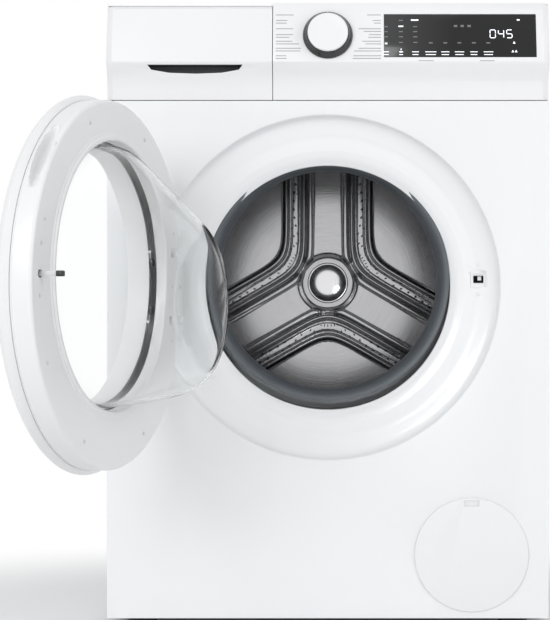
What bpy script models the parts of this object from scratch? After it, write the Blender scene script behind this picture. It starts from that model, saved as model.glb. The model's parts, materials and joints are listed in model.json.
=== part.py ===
"""Front load washing machine, as an assembly of separate pieces, with its door swung open.

Metres, +Z up, the front facing -Y. Every piece is placed in the machine frame: X = 0 on the
cabinet's centre line, Y = 0 on the front panel's outer face, Z = 0 on the floor.
"""

import math

import bmesh
import bpy
from mathutils import Vector

# Cabinet
WIDTH = 0.598
HEIGHT = 0.848
DEPTH = 0.550
FOOT_HEIGHT = 0.015
SHEET = 0.0012
PANEL_HEIGHT = 0.132
TOP_THICKNESS = 0.024
PAN_HEIGHT = 0.035
PAN_WALL = 0.003
PAN_SETBACK = 0.020
FOOT_INSET_X = 0.044
FOOT_INSET_Y = 0.040
FOOT_RADIUS = 0.020
STUD_RADIUS = 0.005

# Facets around the large turned pieces
ROUND = 40
LARGE = 32
SMALL = 20

# Fits
GAP = 0.0003
SEAM = 0.001

# Porthole in the front panel
RECESS_Z = 0.4626
RECESS_RADIUS = 0.233
RECESS_DEPTH = 0.0205
OPENING_RISE = 0.0113
OPENING_RADIUS = 0.1665
COLLAR_DEPTH = 0.0135
LIP_RADIUS = OPENING_RADIUS - 0.0155

# Tub and drum
TUB_RADIUS = 0.254
TUB_WALL = 0.004
TUB_FRONT = 0.078
TUB_SPLIT = 0.200
TUB_BACK = 0.470
NECK_DEPTH = 0.0175
DRUM_RADIUS = 0.240
DRUM_WALL = 0.0012
DRUM_MOUTH = OPENING_RADIUS - 0.0123
DRUM_FRONT = 0.087
DRUM_BACK = 0.4285
HUB_CAP_RADIUS = 0.0315
BEARING_RADIUS = 0.0257
SHAFT_RADIUS = 0.0147
SHAFT_TAIL_RADIUS = 0.0122
SHAFT_END = 0.512
PULLEY_RADIUS = 0.1375
MOTOR_PULLEY_RADIUS = 0.011
PULLEY_FRONT = 0.486
PULLEY_WIDTH = 0.020
BELT_THICKNESS = 0.004
BELT_WIDTH = 0.014
MOTOR_X = -0.110
MOTOR_Z = 0.140
MOTOR_RADIUS = 0.058
MOTOR_FRONT = 0.345
MOTOR_BACK = 0.460
WEIGHT_INNER = 0.178
WEIGHT_OUTER = 0.250
WEIGHT_FRONT = 0.030
SPRING_X = 0.212
SPRING_Y = 0.350
SPRING_COIL = 0.011
SPRING_WIRE = 0.0016
SPRING_SEAT_Z = 0.680
BRACKET_Z = HEIGHT - 0.053
DAMPER_X = 0.177
DAMPER_Y = 0.250
DAMPER_RADIUS = 0.014
ROD_RADIUS = 0.005
DAMPER_TOP = 0.170
DAMPER_LUG_Z = 0.262
HEATER_RADIUS = 0.0032
HEATER_HALF = 0.020
FLANGE = 0.008
HUB_FRONT = 0.448
HUB_BACK = 0.482
SUMP_X = 0.060
SUMP_Y = 0.150
SUMP_Z = 0.210
SUMP_RADIUS = 0.015
TUB_INLET_Z = 0.715
LIFTER_ANGLES = (60, 180, 300)
STAR_ANGLES = (90, 210, 330)
BAND_ANGLES = (30, 150, 270)
STAR_HALF = 0.0306
BAND_WIDTH = 0.040

# Door
DOOR_OPEN = math.radians(108.75)
HINGE_X = -0.216
HINGE_Y = -0.0200
KNUCKLE_RISE = 0.040
KNUCKLE_WIDTH = 0.010
PIN_RADIUS = 0.003
FRAME_RADIUS = 0.2297
FRAME_BACK = 0.002
FRAME_DEPTH = 0.027
FRAME_WALL = 0.003
DOOR_HOLE = OPENING_RADIUS + 0.0012
RIM_RADIUS = 0.2361
DOME_FRONT = 0.055
BOWL_DEPTH = 0.120
BOWL_END = DOOR_HOLE - 0.0677
BOWL_DROP = 0.0245
GLASS = 0.004
GLASS_BACK = -0.0121
GLASS_FRONT = -0.0205
GRIP_ANGLE = 42
LATCH_X = 0.205
LATCH_LENGTH = 0.030
HOOK_SLOT_HALF = 0.010

# Control panel and dispenser
FASCIA_PROUD = 0.020
FASCIA_LOW = HEIGHT - 0.082
FASCIA_HIGH = HEIGHT - 0.0095
FASCIA_TOP_PROUD = 0.0015
PANEL_BACK = 0.012
PANEL_WALL = 0.004
BEVEL_RUN = 0.008
DRAWER_SPLIT = -0.0750
KNOB_Z = HEIGHT - 0.046
KNOB_RADIUS = 0.0337
KNOB_CAP_RADIUS = 0.0272
KNOB_HEIGHT = 0.0104
DISPLAY_LEFT = 0.0758
DISPLAY_RIGHT = 0.2806
DISPLAY_LOW = HEIGHT - 0.076
DISPLAY_HIGH = HEIGHT - 0.0165
GRIP_LEFT = -0.243
GRIP_RIGHT = -0.1145
GRIP_LOW = HEIGHT - 0.0974
GRIP_HIGH = HEIGHT - 0.086
HOUSING_LEFT = 0.009 - WIDTH / 2
HOUSING_RIGHT = DRAWER_SPLIT - 0.005
HOUSING_LOW = HEIGHT - 0.098
HOUSING_HIGH = HEIGHT - 0.026
HOUSING_BACK = 0.330
TRAY_BACK = 0.300
MOULDING = 0.002
HOSE_X = -0.100
HOSE_Y = 0.300
HOSE_RADIUS = 0.010

# Pump corner and rear connections
FLAP_X = WIDTH / 2 - 0.1044
FLAP_Z = 0.1007
FLAP_RADIUS = 0.0772
FLAP_THICKNESS = 0.0019
ACCESS_RADIUS = 0.058
FILTER_RADIUS = 0.032
FILTER_BACK = 0.110
PUMP_BACK = 0.200
INLET_X = 0.099 - WIDTH / 2
INLET_Z = HEIGHT - 0.0555
INLET_RADIUS = 0.0131
INLET_END = DEPTH + 0.024
SPIGOT_X = WIDTH / 2 - 0.037
SPIGOT_Z = HEIGHT - 0.088
SPIGOT_RADIUS = 0.0125
SERVICE_RADIUS = 0.175
MAINS_X = WIDTH / 2 - 0.109
MAINS_RADIUS = 0.010
VALVE_FRONT = DEPTH - 0.050
OUTLET_RADIUS = 0.011
OUTLET_Y = 0.130
PORT_Y = 0.075
PORT_TOP = 0.140

# Worked out from the values above
HALF = WIDTH / 2
OPENING_Z = RECESS_Z + OPENING_RISE
FRONT_TOP = HEIGHT - PANEL_HEIGHT - SEAM
PANEL_LOW = HEIGHT - PANEL_HEIGHT
BOARD_LOW = HEIGHT - TOP_THICKNESS
PAN_TOP = FOOT_HEIGHT + PAN_HEIGHT
FASCIA_TILT = math.atan2(FASCIA_PROUD - FASCIA_TOP_PROUD, FASCIA_HIGH - FASCIA_LOW)
FORWARD = (math.pi / 2, 0, 0)
TILTED = (math.pi / 2 - FASCIA_TILT, 0, 0)
CARRIER_FRONT = PANEL_BACK + GAP
CARRIER_BACK = CARRIER_FRONT + 0.0015
HOUSING_FRONT = CARRIER_BACK + GAP
FRAME_SEAM = FRAME_BACK - FRAME_DEPTH
SHOULDER_RADIUS = 0.205
SHOULDER_FRONT = -0.052
NECK_INNER = OPENING_RADIUS + 0.0013
HEATER_Z = OPENING_Z - (TUB_RADIUS - TUB_WALL + DRUM_RADIUS) / 2 + 0.0007
SPIGOT_BACK_FACE = DEPTH - SHEET - GAP - 0.003
FOOT_X = HALF - FOOT_INSET_X
FOOT_PLACES = [
    ("foot_front_left", -FOOT_X, PAN_SETBACK + FOOT_INSET_Y),
    ("foot_front_right", FOOT_X, PAN_SETBACK + FOOT_INSET_Y),
    ("foot_rear_left", -FOOT_X, DEPTH - FOOT_INSET_Y),
    ("foot_rear_right", FOOT_X, DEPTH - FOOT_INSET_Y),
]


def clear_scene():
    for item in list(bpy.data.objects):
        bpy.data.objects.remove(item)


def new_collection(name):
    collection = bpy.data.collections.new(name)
    bpy.context.scene.collection.children.link(collection)
    return collection


def finish_of(name, colour, roughness, metallic=0.0, alpha=1.0):
    """A Principled material with the piece's colour, roughness and metal share."""
    finish = bpy.data.materials.new(name)
    finish.use_nodes = True
    shader = finish.node_tree.nodes["Principled BSDF"]
    shader.inputs["Base Color"].default_value = (*colour, 1.0)
    shader.inputs["Roughness"].default_value = roughness
    shader.inputs["Metallic"].default_value = metallic
    shader.inputs["Alpha"].default_value = alpha
    return finish


clear_scene()
PARTS = new_collection("front_load_washing_machine")
CUTTERS = new_collection("cutters")


def body_frame(name, pivot, turn=(0, 0, 0), parent=None):
    """The empty that a moving group hangs on, placed on its joint's axis."""
    frame = bpy.data.objects.new(name, None)
    frame["pivot"] = pivot
    frame.rotation_euler = turn
    frame.parent = parent
    frame.location = Vector(pivot) - Vector(parent["pivot"]) if parent else Vector((0, 0, 0))
    CUTTERS.objects.link(frame)
    return frame


def new_object(name, data, finish, body, at=(0, 0, 0), turn=(0, 0, 0)):
    """An object in the machine frame, hung on its body; with no finish it is a hidden tool."""
    item = bpy.data.objects.new(name, data)
    if finish is None:
        CUTTERS.objects.link(item)
        item.hide_render = True
        item.display_type = "WIRE"
    else:
        PARTS.objects.link(item)
        data.materials.append(finish)
    item.parent = body
    item.location = Vector(at) - Vector(body["pivot"])
    item.rotation_euler = turn
    return item


def slab(name, low, high, finish, body, at=(0, 0, 0), turn=(0, 0, 0)):
    """A box between two corners."""
    low = Vector(low)
    high = Vector(high)
    shape = bmesh.new()
    bmesh.ops.create_cube(shape, size=1)
    bmesh.ops.scale(shape, vec=high - low, verts=shape.verts)
    bmesh.ops.translate(shape, vec=(low + high) / 2, verts=shape.verts)
    mesh = bpy.data.meshes.new(name)
    shape.to_mesh(mesh)
    shape.free()
    return new_object(name, mesh, finish, body, at, turn)


def turned(name, profile, finish, body, at, turn=FORWARD, steps=SMALL):
    """A turned piece from (radius, height) points that run down its outer side."""
    mesh = bpy.data.meshes.new(name)
    edges = [(i, i + 1) for i in range(len(profile) - 1)]
    if profile[0][0] > 0:
        edges.append((len(profile) - 1, 0))
    mesh.from_pydata([(radius, 0, height) for radius, height in profile], edges, [])
    item = new_object(name, mesh, finish, body, at, turn)
    screw = item.modifiers.new("turn", "SCREW")
    screw.angle = 2 * math.pi
    screw.steps = steps
    screw.render_steps = steps
    screw.use_merge_vertices = True
    screw.merge_threshold = 0.00001
    return item


def from_front(points):
    """Turns (radius, Y) points into (radius, height) points of a piece that faces forward."""
    return [(radius, -y) for radius, y in points]


def cylinder(name, radius, y_front, y_back, finish, body, x, z, steps=SMALL):
    """A round bar along Y."""
    profile = from_front([(0, y_front), (radius, y_front), (radius, y_back), (0, y_back)])
    return turned(name, profile, finish, body, (x, 0, z), FORWARD, steps)


def ring(name, inner, outer, y_front, y_back, finish, body, x, z, steps=SMALL):
    """A plain ring along Y."""
    points = [(outer, y_front), (outer, y_back), (inner, y_back), (inner, y_front)]
    return turned(name, from_front(points), finish, body, (x, 0, z), FORWARD, steps)


def bar(name, radius, bottom, top, finish, body, x, y, steps=16):
    """A round bar along Z."""
    profile = [(0, top), (radius, top), (radius, bottom), (0, bottom)]
    return turned(name, profile, finish, body, (x, y, 0), (0, 0, 0), steps)


def arc(radius, start, end, count, x=0.0, y=0.0):
    """Points along an arc, in degrees."""
    points = []
    for i in range(count + 1):
        angle = math.radians(start + (end - start) * i / count)
        points.append((x + radius * math.cos(angle), y + radius * math.sin(angle)))
    return points


def curve_mesh(curve):
    """The curve's surface as a welded mesh."""
    holder = bpy.data.objects.new("holder", curve)
    bpy.context.scene.collection.objects.link(holder)
    seen = holder.evaluated_get(bpy.context.evaluated_depsgraph_get())
    mesh = bpy.data.meshes.new_from_object(seen)
    bpy.data.objects.remove(holder)
    shape = bmesh.new()
    shape.from_mesh(mesh)
    bmesh.ops.remove_doubles(shape, verts=shape.verts, dist=0.000001)
    shape.to_mesh(mesh)
    shape.free()
    return mesh


def extruded(name, outlines, y_front, y_back, finish, body):
    """A flat plate of closed (X, Z) outlines between two Y planes; a second outline is a hole."""
    curve = bpy.data.curves.new(name, "CURVE")
    curve.dimensions = "2D"
    curve.fill_mode = "BOTH"
    curve.extrude = (y_back - y_front) / 2
    for outline in outlines:
        spline = curve.splines.new("POLY")
        spline.points.add(len(outline) - 1)
        for point, (x, z) in zip(spline.points, outline):
            point.co = (x, z, 0, 1)
        spline.use_cyclic_u = True
    middle = (0, (y_front + y_back) / 2, 0)
    return new_object(name, curve_mesh(curve), finish, body, middle, FORWARD)


def tube(name, points, radius, finish, body):
    """A round tube or wire along points, as a filled curve."""
    curve = bpy.data.curves.new(name, "CURVE")
    curve.dimensions = "3D"
    curve.bevel_depth = radius
    curve.bevel_resolution = 2
    curve.use_fill_caps = True
    spline = curve.splines.new("POLY")
    spline.points.add(len(points) - 1)
    for point, place in zip(spline.points, points):
        point.co = (*place, 1)
    return new_object(name, curve, finish, body)


def lofted(name, sections, finish, body):
    """A closed skin over rings of points with the same count, capped at both ends."""
    shape = bmesh.new()
    rings = [[shape.verts.new(point) for point in section] for section in sections]
    for first, second in zip(rings, rings[1:]):
        for i in range(len(first)):
            j = (i + 1) % len(first)
            shape.faces.new((first[i], first[j], second[j], second[i]))
    shape.faces.new(rings[0])
    shape.faces.new(rings[-1])
    bmesh.ops.recalc_face_normals(shape, faces=shape.faces)
    mesh = bpy.data.meshes.new(name)
    shape.to_mesh(mesh)
    shape.free()
    mesh.shade_smooth()
    mesh.set_sharp_from_angle(angle=math.radians(35))
    return new_object(name, mesh, finish, body)


def boolean(item, tool, operation):
    step = item.modifiers.new(operation.lower(), "BOOLEAN")
    step.operation = operation
    step.solver = "EXACT"
    step.object = tool


def cut(item, *tools):
    for tool in tools:
        boolean(item, tool, "DIFFERENCE")


def join(item, *tools):
    for tool in tools:
        boolean(item, tool, "UNION")


def soften(item, width, segments=2):
    """Rounds the sharp edges of a piece."""
    bevel = item.modifiers.new("soft edges", "BEVEL")
    bevel.width = width
    bevel.segments = segments
    bevel.limit_method = "ANGLE"
    bevel.angle_limit = math.radians(40)


# The open door reaches furthest left at its shoulder and furthest forward at its frame.
OPEN_LEFT = (
    HINGE_X
    + math.cos(DOOR_OPEN) * (SHOULDER_RADIUS - HINGE_X)
    + math.sin(DOOR_OPEN) * (SHOULDER_FRONT - HINGE_Y)
)
OPEN_FRONT = (
    HINGE_Y
    - math.sin(DOOR_OPEN) * (FRAME_RADIUS - HINGE_X)
    + math.cos(DOOR_OPEN) * (FRAME_BACK - HINGE_Y)
)

MACHINE = body_frame("machine_frame", (0, 0, 0))
MACHINE.location = (-(OPEN_LEFT + HALF) / 2, -(OPEN_FRONT + INLET_END) / 2, 0)
ROOT = body_frame("cabinet_frame", (0, 0, 0), parent=MACHINE)
TUB = body_frame("tub_frame", (0, TUB_FRONT, OPENING_Z), parent=MACHINE)
DRUM = body_frame("drum_axis", (0, DRUM_BACK, OPENING_Z), parent=TUB)
ROTOR = body_frame("motor_axis", (MOTOR_X, MOTOR_BACK, MOTOR_Z), parent=TUB)
DOOR = body_frame("door_axis", (HINGE_X, HINGE_Y, RECESS_Z), (0, 0, -DOOR_OPEN), MACHINE)
HOOK = body_frame("hook_axis", (LATCH_X, FRAME_BACK, OPENING_Z), parent=DOOR)
DRAWER = body_frame("drawer_frame", (HOUSING_LEFT, PANEL_BACK, HOUSING_LOW), parent=MACHINE)
KNOB_Y = -FASCIA_PROUD + (KNOB_Z - FASCIA_LOW) * math.tan(FASCIA_TILT)
KNOB = body_frame("knob_axis", (0, KNOB_Y, KNOB_Z), parent=MACHINE)
FLAP_HINGE_Y = -GAP - 0.0012
FLAP_HINGE_Z = FLAP_Z - FLAP_RADIUS + 0.0005
FLAP = body_frame("flap_axis", (FLAP_X, FLAP_HINGE_Y, FLAP_HINGE_Z), parent=MACHINE)
FILTER = body_frame("filter_axis", (FLAP_X, PAN_SETBACK, FLAP_Z), parent=MACHINE)

WHITE_STEEL = finish_of("white_enamel", (0.85, 0.86, 0.87), 0.35)
WHITE_PLASTIC = finish_of("white_plastic", (0.84, 0.84, 0.85), 0.38)
GREY_PLASTIC = finish_of("grey_plastic", (0.24, 0.25, 0.27), 0.50)
PALE_PLASTIC = finish_of("pale_plastic", (0.66, 0.68, 0.70), 0.45)
BLACK_PLASTIC = finish_of("black_plastic", (0.02, 0.02, 0.022), 0.30)
BLACK_GLASS = finish_of("black_glass", (0.01, 0.01, 0.012), 0.06)
CLEAR_GLASS = finish_of("clear_glass", (0.95, 0.97, 0.97), 0.03, 0.0, 0.30)
STAINLESS = finish_of("stainless", (0.62, 0.62, 0.63), 0.22, 1.0)
ZINC = finish_of("zinc_steel", (0.55, 0.57, 0.59), 0.40, 1.0)
CAST = finish_of("cast_aluminium", (0.50, 0.51, 0.52), 0.45, 1.0)
RUBBER = finish_of("grey_rubber", (0.10, 0.12, 0.14), 0.55)
BLACK_RUBBER = finish_of("black_rubber", (0.03, 0.03, 0.03), 0.60)
CONCRETE = finish_of("concrete", (0.42, 0.41, 0.39), 0.90)


# Cabinet
def side_panel(name, side):
    """A folded steel side with top and rear returns and the bracket that a spring hangs on."""
    outer = side * HALF
    inner = side * (HALF - SHEET)
    edge = side * (HALF - 0.016)
    top = BOARD_LOW - GAP
    rear = DEPTH - SHEET - GAP

    def box(part, x_one, x_two, y, z, finish=None):
        low = (min(x_one, x_two), y[0], z[0])
        high = (max(x_one, x_two), y[1], z[1])
        return slab(part, low, high, finish, ROOT)

    sheet = box(name, inner, outer, (SHEET + GAP, rear), (FOOT_HEIGHT, top), WHITE_STEEL)
    sunk = inner + side * SHEET / 2
    top_return = box(name + "_top_return", sunk, edge, (SHEET + GAP, rear), (top - SHEET, top))
    rear_return = box(name + "_rear_return", sunk, edge, (rear - SHEET, rear), (PAN_TOP + SEAM, top))
    shelf = (SPRING_Y - 0.015, SPRING_Y + 0.015)
    bracket_end = side * (SPRING_X - 0.014)
    bracket = box(name + "_spring_bracket", sunk, bracket_end, shelf, (BRACKET_Z, BRACKET_Z + 0.004))
    notch_z = (PANEL_LOW - SEAM / 2, HEIGHT)
    notch = box(name + "_notch", side * HALF * 0.9, side * HALF * 1.1, (-0.01, PANEL_BACK + GAP), notch_z)
    join(sheet, top_return, rear_return, bracket)
    cut(sheet, notch)


def rear_panel():
    """The rear sheet, with its service opening and the holes for inlet, spigot and mains."""
    low = (-HALF, DEPTH - SHEET, FOOT_HEIGHT)
    high = (HALF, DEPTH, BOARD_LOW - GAP)
    panel = slab("rear_panel", low, high, WHITE_STEEL, ROOT)
    before = DEPTH - 0.01
    behind = DEPTH + 0.01
    service = cylinder("service_opening", SERVICE_RADIUS, before, behind, None, ROOT, 0, OPENING_Z)
    inlet = cylinder("inlet_hole", INLET_RADIUS + 2 * GAP, before, behind, None, ROOT, INLET_X, INLET_Z)
    spigot_hole = SPIGOT_RADIUS + 2 * GAP
    spigot = cylinder("spigot_hole", spigot_hole, before, behind, None, ROOT, SPIGOT_X, SPIGOT_Z)
    mains = cylinder("mains_hole", MAINS_RADIUS + 2 * GAP, before, behind, None, ROOT, MAINS_X, SPIGOT_Z)
    cut(panel, service, inlet, spigot, mains)

    rim = SERVICE_RADIUS + 0.010
    profile = [
        (0, DEPTH + 0.0095),
        (SERVICE_RADIUS - 0.020, DEPTH + 0.0095),
        (SERVICE_RADIUS - 0.008, DEPTH + GAP),
        (rim, DEPTH + GAP),
        (rim, DEPTH + GAP + SHEET),
        (SERVICE_RADIUS - 0.008, DEPTH + GAP + SHEET),
        (SERVICE_RADIUS - 0.020, DEPTH + 0.0095 + SHEET),
        (0, DEPTH + 0.0095 + SHEET),
    ]
    turned("service_cover", from_front(profile), WHITE_STEEL, ROOT, (0, 0, OPENING_Z), FORWARD, LARGE)


def base_pan():
    """The drip pan that ties the cabinet together at the floor and holds the feet."""
    side = HALF - SHEET - GAP
    rear = DEPTH - SHEET - 3 * GAP - SHEET
    pan = slab("base_pan", (-side, PAN_SETBACK, FOOT_HEIGHT), (side, rear, PAN_TOP), ZINC, ROOT)
    low = (-side + PAN_WALL, PAN_SETBACK + PAN_WALL, FOOT_HEIGHT + PAN_WALL)
    high = (side - PAN_WALL, rear - PAN_WALL, PAN_TOP + 0.01)
    cut(pan, slab("pan_inside", low, high, None, ROOT))
    for name, x, y in FOOT_PLACES:
        hole = bar(name + "_hole", STUD_RADIUS + GAP, FOOT_HEIGHT - 0.01, PAN_TOP + 0.01, None, ROOT, x, y)
        cut(pan, hole)
        profile = [
            (0, FOOT_HEIGHT + 0.025),
            (STUD_RADIUS, FOOT_HEIGHT + 0.025),
            (STUD_RADIUS, FOOT_HEIGHT - GAP),
            (0.0095, FOOT_HEIGHT - GAP),
            (0.0095, 0.0105),
            (FOOT_RADIUS - 0.002, 0.0095),
            (FOOT_RADIUS, 0.0075),
            (FOOT_RADIUS, 0),
            (0, 0),
        ]
        turned(name, profile, BLACK_RUBBER, ROOT, (x, y, 0), (0, 0, 0), 20)


def top_panel():
    low = (-HALF + 0.0005, PANEL_BACK + GAP, BOARD_LOW)
    top = slab("top_panel", low, (HALF - 0.0005, DEPTH, HEIGHT), WHITE_PLASTIC, ROOT)
    soften(top, 0.0015)


def front_panel():
    """The enamelled front: a sheet with the round recess, its collar and the access holes."""
    side = HALF - 0.0003
    panel = slab("front_panel", (-side, 0, FOOT_HEIGHT), (side, SHEET, FRONT_TOP), WHITE_STEEL, ROOT)
    before = -0.02
    behind = 0.06
    bore = RECESS_RADIUS + 0.0005
    round_hole = cylinder("recess_hole", bore, before, behind, None, ROOT, 0, RECESS_Z, ROUND)
    r = RECESS_RADIUS
    d = RECESS_DEPTH
    dish_profile = [
        (0, d),
        (r - 0.019, d),
        (r - 0.0085, d - 0.0035),
        (r - 0.0045, d - 0.0080),
        (r - 0.0020, d - 0.0135),
        (r, SHEET / 4),
        (r + SHEET + 0.0003, SHEET / 4),
        (r - 0.0008, d - 0.0132),
        (r - 0.0035, d - 0.0074),
        (r - 0.0077, d - 0.0025),
        (r - 0.0188, d + SHEET),
        (0, d + SHEET),
    ]
    dish_points = from_front(dish_profile)
    dish = turned("recess_dish", dish_points, None, ROOT, (0, 0, RECESS_Z), FORWARD, ROUND)
    o = OPENING_RADIUS
    opening = cylinder("porthole", o + 0.0130, before, behind, None, ROOT, 0, OPENING_Z, ROUND)
    collar_profile = [
        (o + 0.0160, d + 0.0003),
        (o + 0.0160, d + 0.0017),
        (o + 0.0105, d + 0.0044),
        (o + 0.0014, d + 0.0075),
        (o + 0.0012, d + COLLAR_DEPTH),
        (o, d + COLLAR_DEPTH),
        (o + 0.0002, d + 0.0060),
        (o + 0.0100, d + 0.0030),
    ]
    collar_points = from_front(collar_profile)
    half_facet = (math.pi / 2, math.pi / ROUND, 0)
    collar = turned("porthole_collar", collar_points, None, ROOT, (0, 0, OPENING_Z), half_facet, ROUND)
    for sign in (-1, 1):
        x_one = sign * (HALF - SHEET - 2 * GAP)
        x_two = x_one - sign * SHEET
        low = (min(x_one, x_two), SHEET / 2, FOOT_HEIGHT + SEAM)
        high = (max(x_one, x_two), PAN_SETBACK - 0.002, FRONT_TOP - SEAM)
        join(panel, slab("front_return", low, high, None, ROOT))
    cut(panel, round_hole)
    join(panel, dish)
    cut(panel, opening)
    join(panel, collar)
    slot_low = (LATCH_X - 0.0095, 0.005, OPENING_Z - 0.0110)
    slot_high = (LATCH_X + 0.0095, 0.040, OPENING_Z + 0.0110)
    slot = slab("lock_slot", slot_low, slot_high, None, ROOT)
    access = cylinder("access_hole", ACCESS_RADIUS, before, behind, None, ROOT, FLAP_X, FLAP_Z)
    cut(panel, slot, access)


def panel_carrier():
    """The cross rail that holds the control panel and guides the drawer."""
    rail_side = HALF - 2 * SHEET - 4 * GAP
    rail_low = (-rail_side, CARRIER_FRONT, FRONT_TOP - 0.014)
    rail_high = (rail_side, CARRIER_BACK, BOARD_LOW - 0.003)
    rail = slab("panel_carrier", rail_low, rail_high, ZINC, ROOT)
    low = (HOUSING_LEFT + MOULDING, 0, HOUSING_LOW + MOULDING)
    high = (HOUSING_RIGHT - MOULDING, 0.03, HOUSING_HIGH - 2 * MOULDING)
    drawer_way = slab("drawer_way", low, high, None, ROOT)
    board_low = (DISPLAY_LEFT - 0.01, 0, DISPLAY_LOW)
    board_high = (DISPLAY_RIGHT - 0.01, 0.03, DISPLAY_HIGH - 0.012)
    board_way = slab("board_way", board_low, board_high, None, ROOT)
    cut(rail, drawer_way, board_way)


side_panel("side_panel_left", -1)
side_panel("side_panel_right", 1)
rear_panel()
base_pan()
top_panel()
front_panel()
panel_carrier()


# Control panel
def fascia_section(x, inset, back, top, side_set=0.0):
    """The panel's outline at one X: concave scoop, leaning fascia and bevelled head."""
    p = FASCIA_PROUD
    front = [
        (0, PANEL_LOW + inset),
        (-0.0010, PANEL_LOW + 0.012),
        (-0.0040, PANEL_LOW + 0.025),
        (-p * 0.50, PANEL_LOW + 0.037),
        (-p + 0.0015, FASCIA_LOW - 0.0035),
        (-p, FASCIA_LOW),
        (-FASCIA_TOP_PROUD, FASCIA_HIGH),
        (BEVEL_RUN * 0.8, top),
    ]
    points = [(x, y + inset + side_set, z) for y, z in front]
    return points + [(x, back, top), (x, back, PANEL_LOW + inset)]


def fascia_shell(name, left, right, left_bevel, right_bevel, top):
    """A hollow moulding with the fascia section, bevelled where its end is the machine's side."""
    stations = []
    if left_bevel:
        stations.append(fascia_section(left, 0, PANEL_BACK, top, 0.006))
        left += BEVEL_RUN
    stations.append(fascia_section(left, 0, PANEL_BACK, top))
    if right_bevel:
        stations.append(fascia_section(right - BEVEL_RUN, 0, PANEL_BACK, top))
        stations.append(fascia_section(right, 0, PANEL_BACK, top, 0.006))
    else:
        stations.append(fascia_section(right, 0, PANEL_BACK, top))
    shell = lofted(name, stations, WHITE_PLASTIC, ROOT if name == "control_panel" else DRAWER)
    w = PANEL_WALL
    first = fascia_section(left + w, w, PANEL_BACK + 0.01, top - w)
    last_x = right - w - (BEVEL_RUN if right_bevel else 0)
    last = fascia_section(last_x, w, PANEL_BACK + 0.01, top - w)
    cut(shell, lofted(name + "_inside", [first, last], None, shell.parent))
    return shell


def control_panel():
    """Right part of the fascia with the knob's hole and the display's pocket, and the head rail."""
    panel = fascia_shell("control_panel", DRAWER_SPLIT + SEAM, HALF - 0.0005, False, True, HEIGHT)
    rail_low = (-HALF + 0.0005, BEVEL_RUN * 0.8 + 0.0005, HEIGHT - 0.004)
    rail_high = (DRAWER_SPLIT + 0.006, PANEL_BACK, HEIGHT - 0.0002)
    join(panel, slab("head_rail", rail_low, rail_high, None, ROOT))
    at = (0, KNOB_Y, KNOB_Z)
    shaft_profile = [(0, 0.01), (0.0046, 0.01), (0.0046, -0.02), (0, -0.02)]
    shaft_hole = turned("knob_shaft_hole", shaft_profile, None, ROOT, at, TILTED, 24)
    middle_z = (DISPLAY_LOW + DISPLAY_HIGH) / 2
    middle_y = -FASCIA_PROUD + (middle_z - FASCIA_LOW) * math.tan(FASCIA_TILT)
    middle = ((DISPLAY_LEFT + DISPLAY_RIGHT) / 2, middle_y, middle_z)
    half_x = (DISPLAY_RIGHT - DISPLAY_LEFT) / 2
    half_z = (DISPLAY_HIGH - DISPLAY_LOW) / 2 / math.cos(FASCIA_TILT)
    lean = (-FASCIA_TILT, 0, 0)

    def plate(name, x, z, y_front, y_back, finish):
        return slab(name, (-x, y_front, -z), (x, y_back, z), finish, ROOT, middle, lean)

    pocket = plate("display_pocket", half_x + GAP, half_z + GAP, -0.01, 0.0020 + GAP, None)
    cut(panel, shaft_hole, pocket)
    plate("display_glass", half_x, half_z, -0.0002, 0.0020, BLACK_GLASS)


def knob():
    """Black tapering ring with its shaft, and the white cap pressed into it."""
    at = (0, KNOB_Y, KNOB_Z)
    r = KNOB_RADIUS
    c = KNOB_CAP_RADIUS
    skirt = [
        (0, 0.0060),
        (c + GAP, 0.0060),
        (c + GAP, 0.0086),
        (c + 0.0014, 0.0088),
        (r - 0.0014, 0.0045),
        (r, 0.0028),
        (r, GAP),
        (0.0040, GAP),
        (0.0040, -0.0150),
        (0, -0.0150),
    ]
    turned("knob_skirt", skirt, BLACK_PLASTIC, KNOB, at, TILTED, 24)
    cap = [
        (0, KNOB_HEIGHT),
        (c - 0.0012, KNOB_HEIGHT),
        (c - 0.0003, KNOB_HEIGHT - 0.0004),
        (c, KNOB_HEIGHT - 0.0013),
        (c, 0.0063),
        (0, 0.0063),
    ]
    turned("knob_cap", cap, WHITE_PLASTIC, KNOB, at, TILTED, 24)


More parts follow.
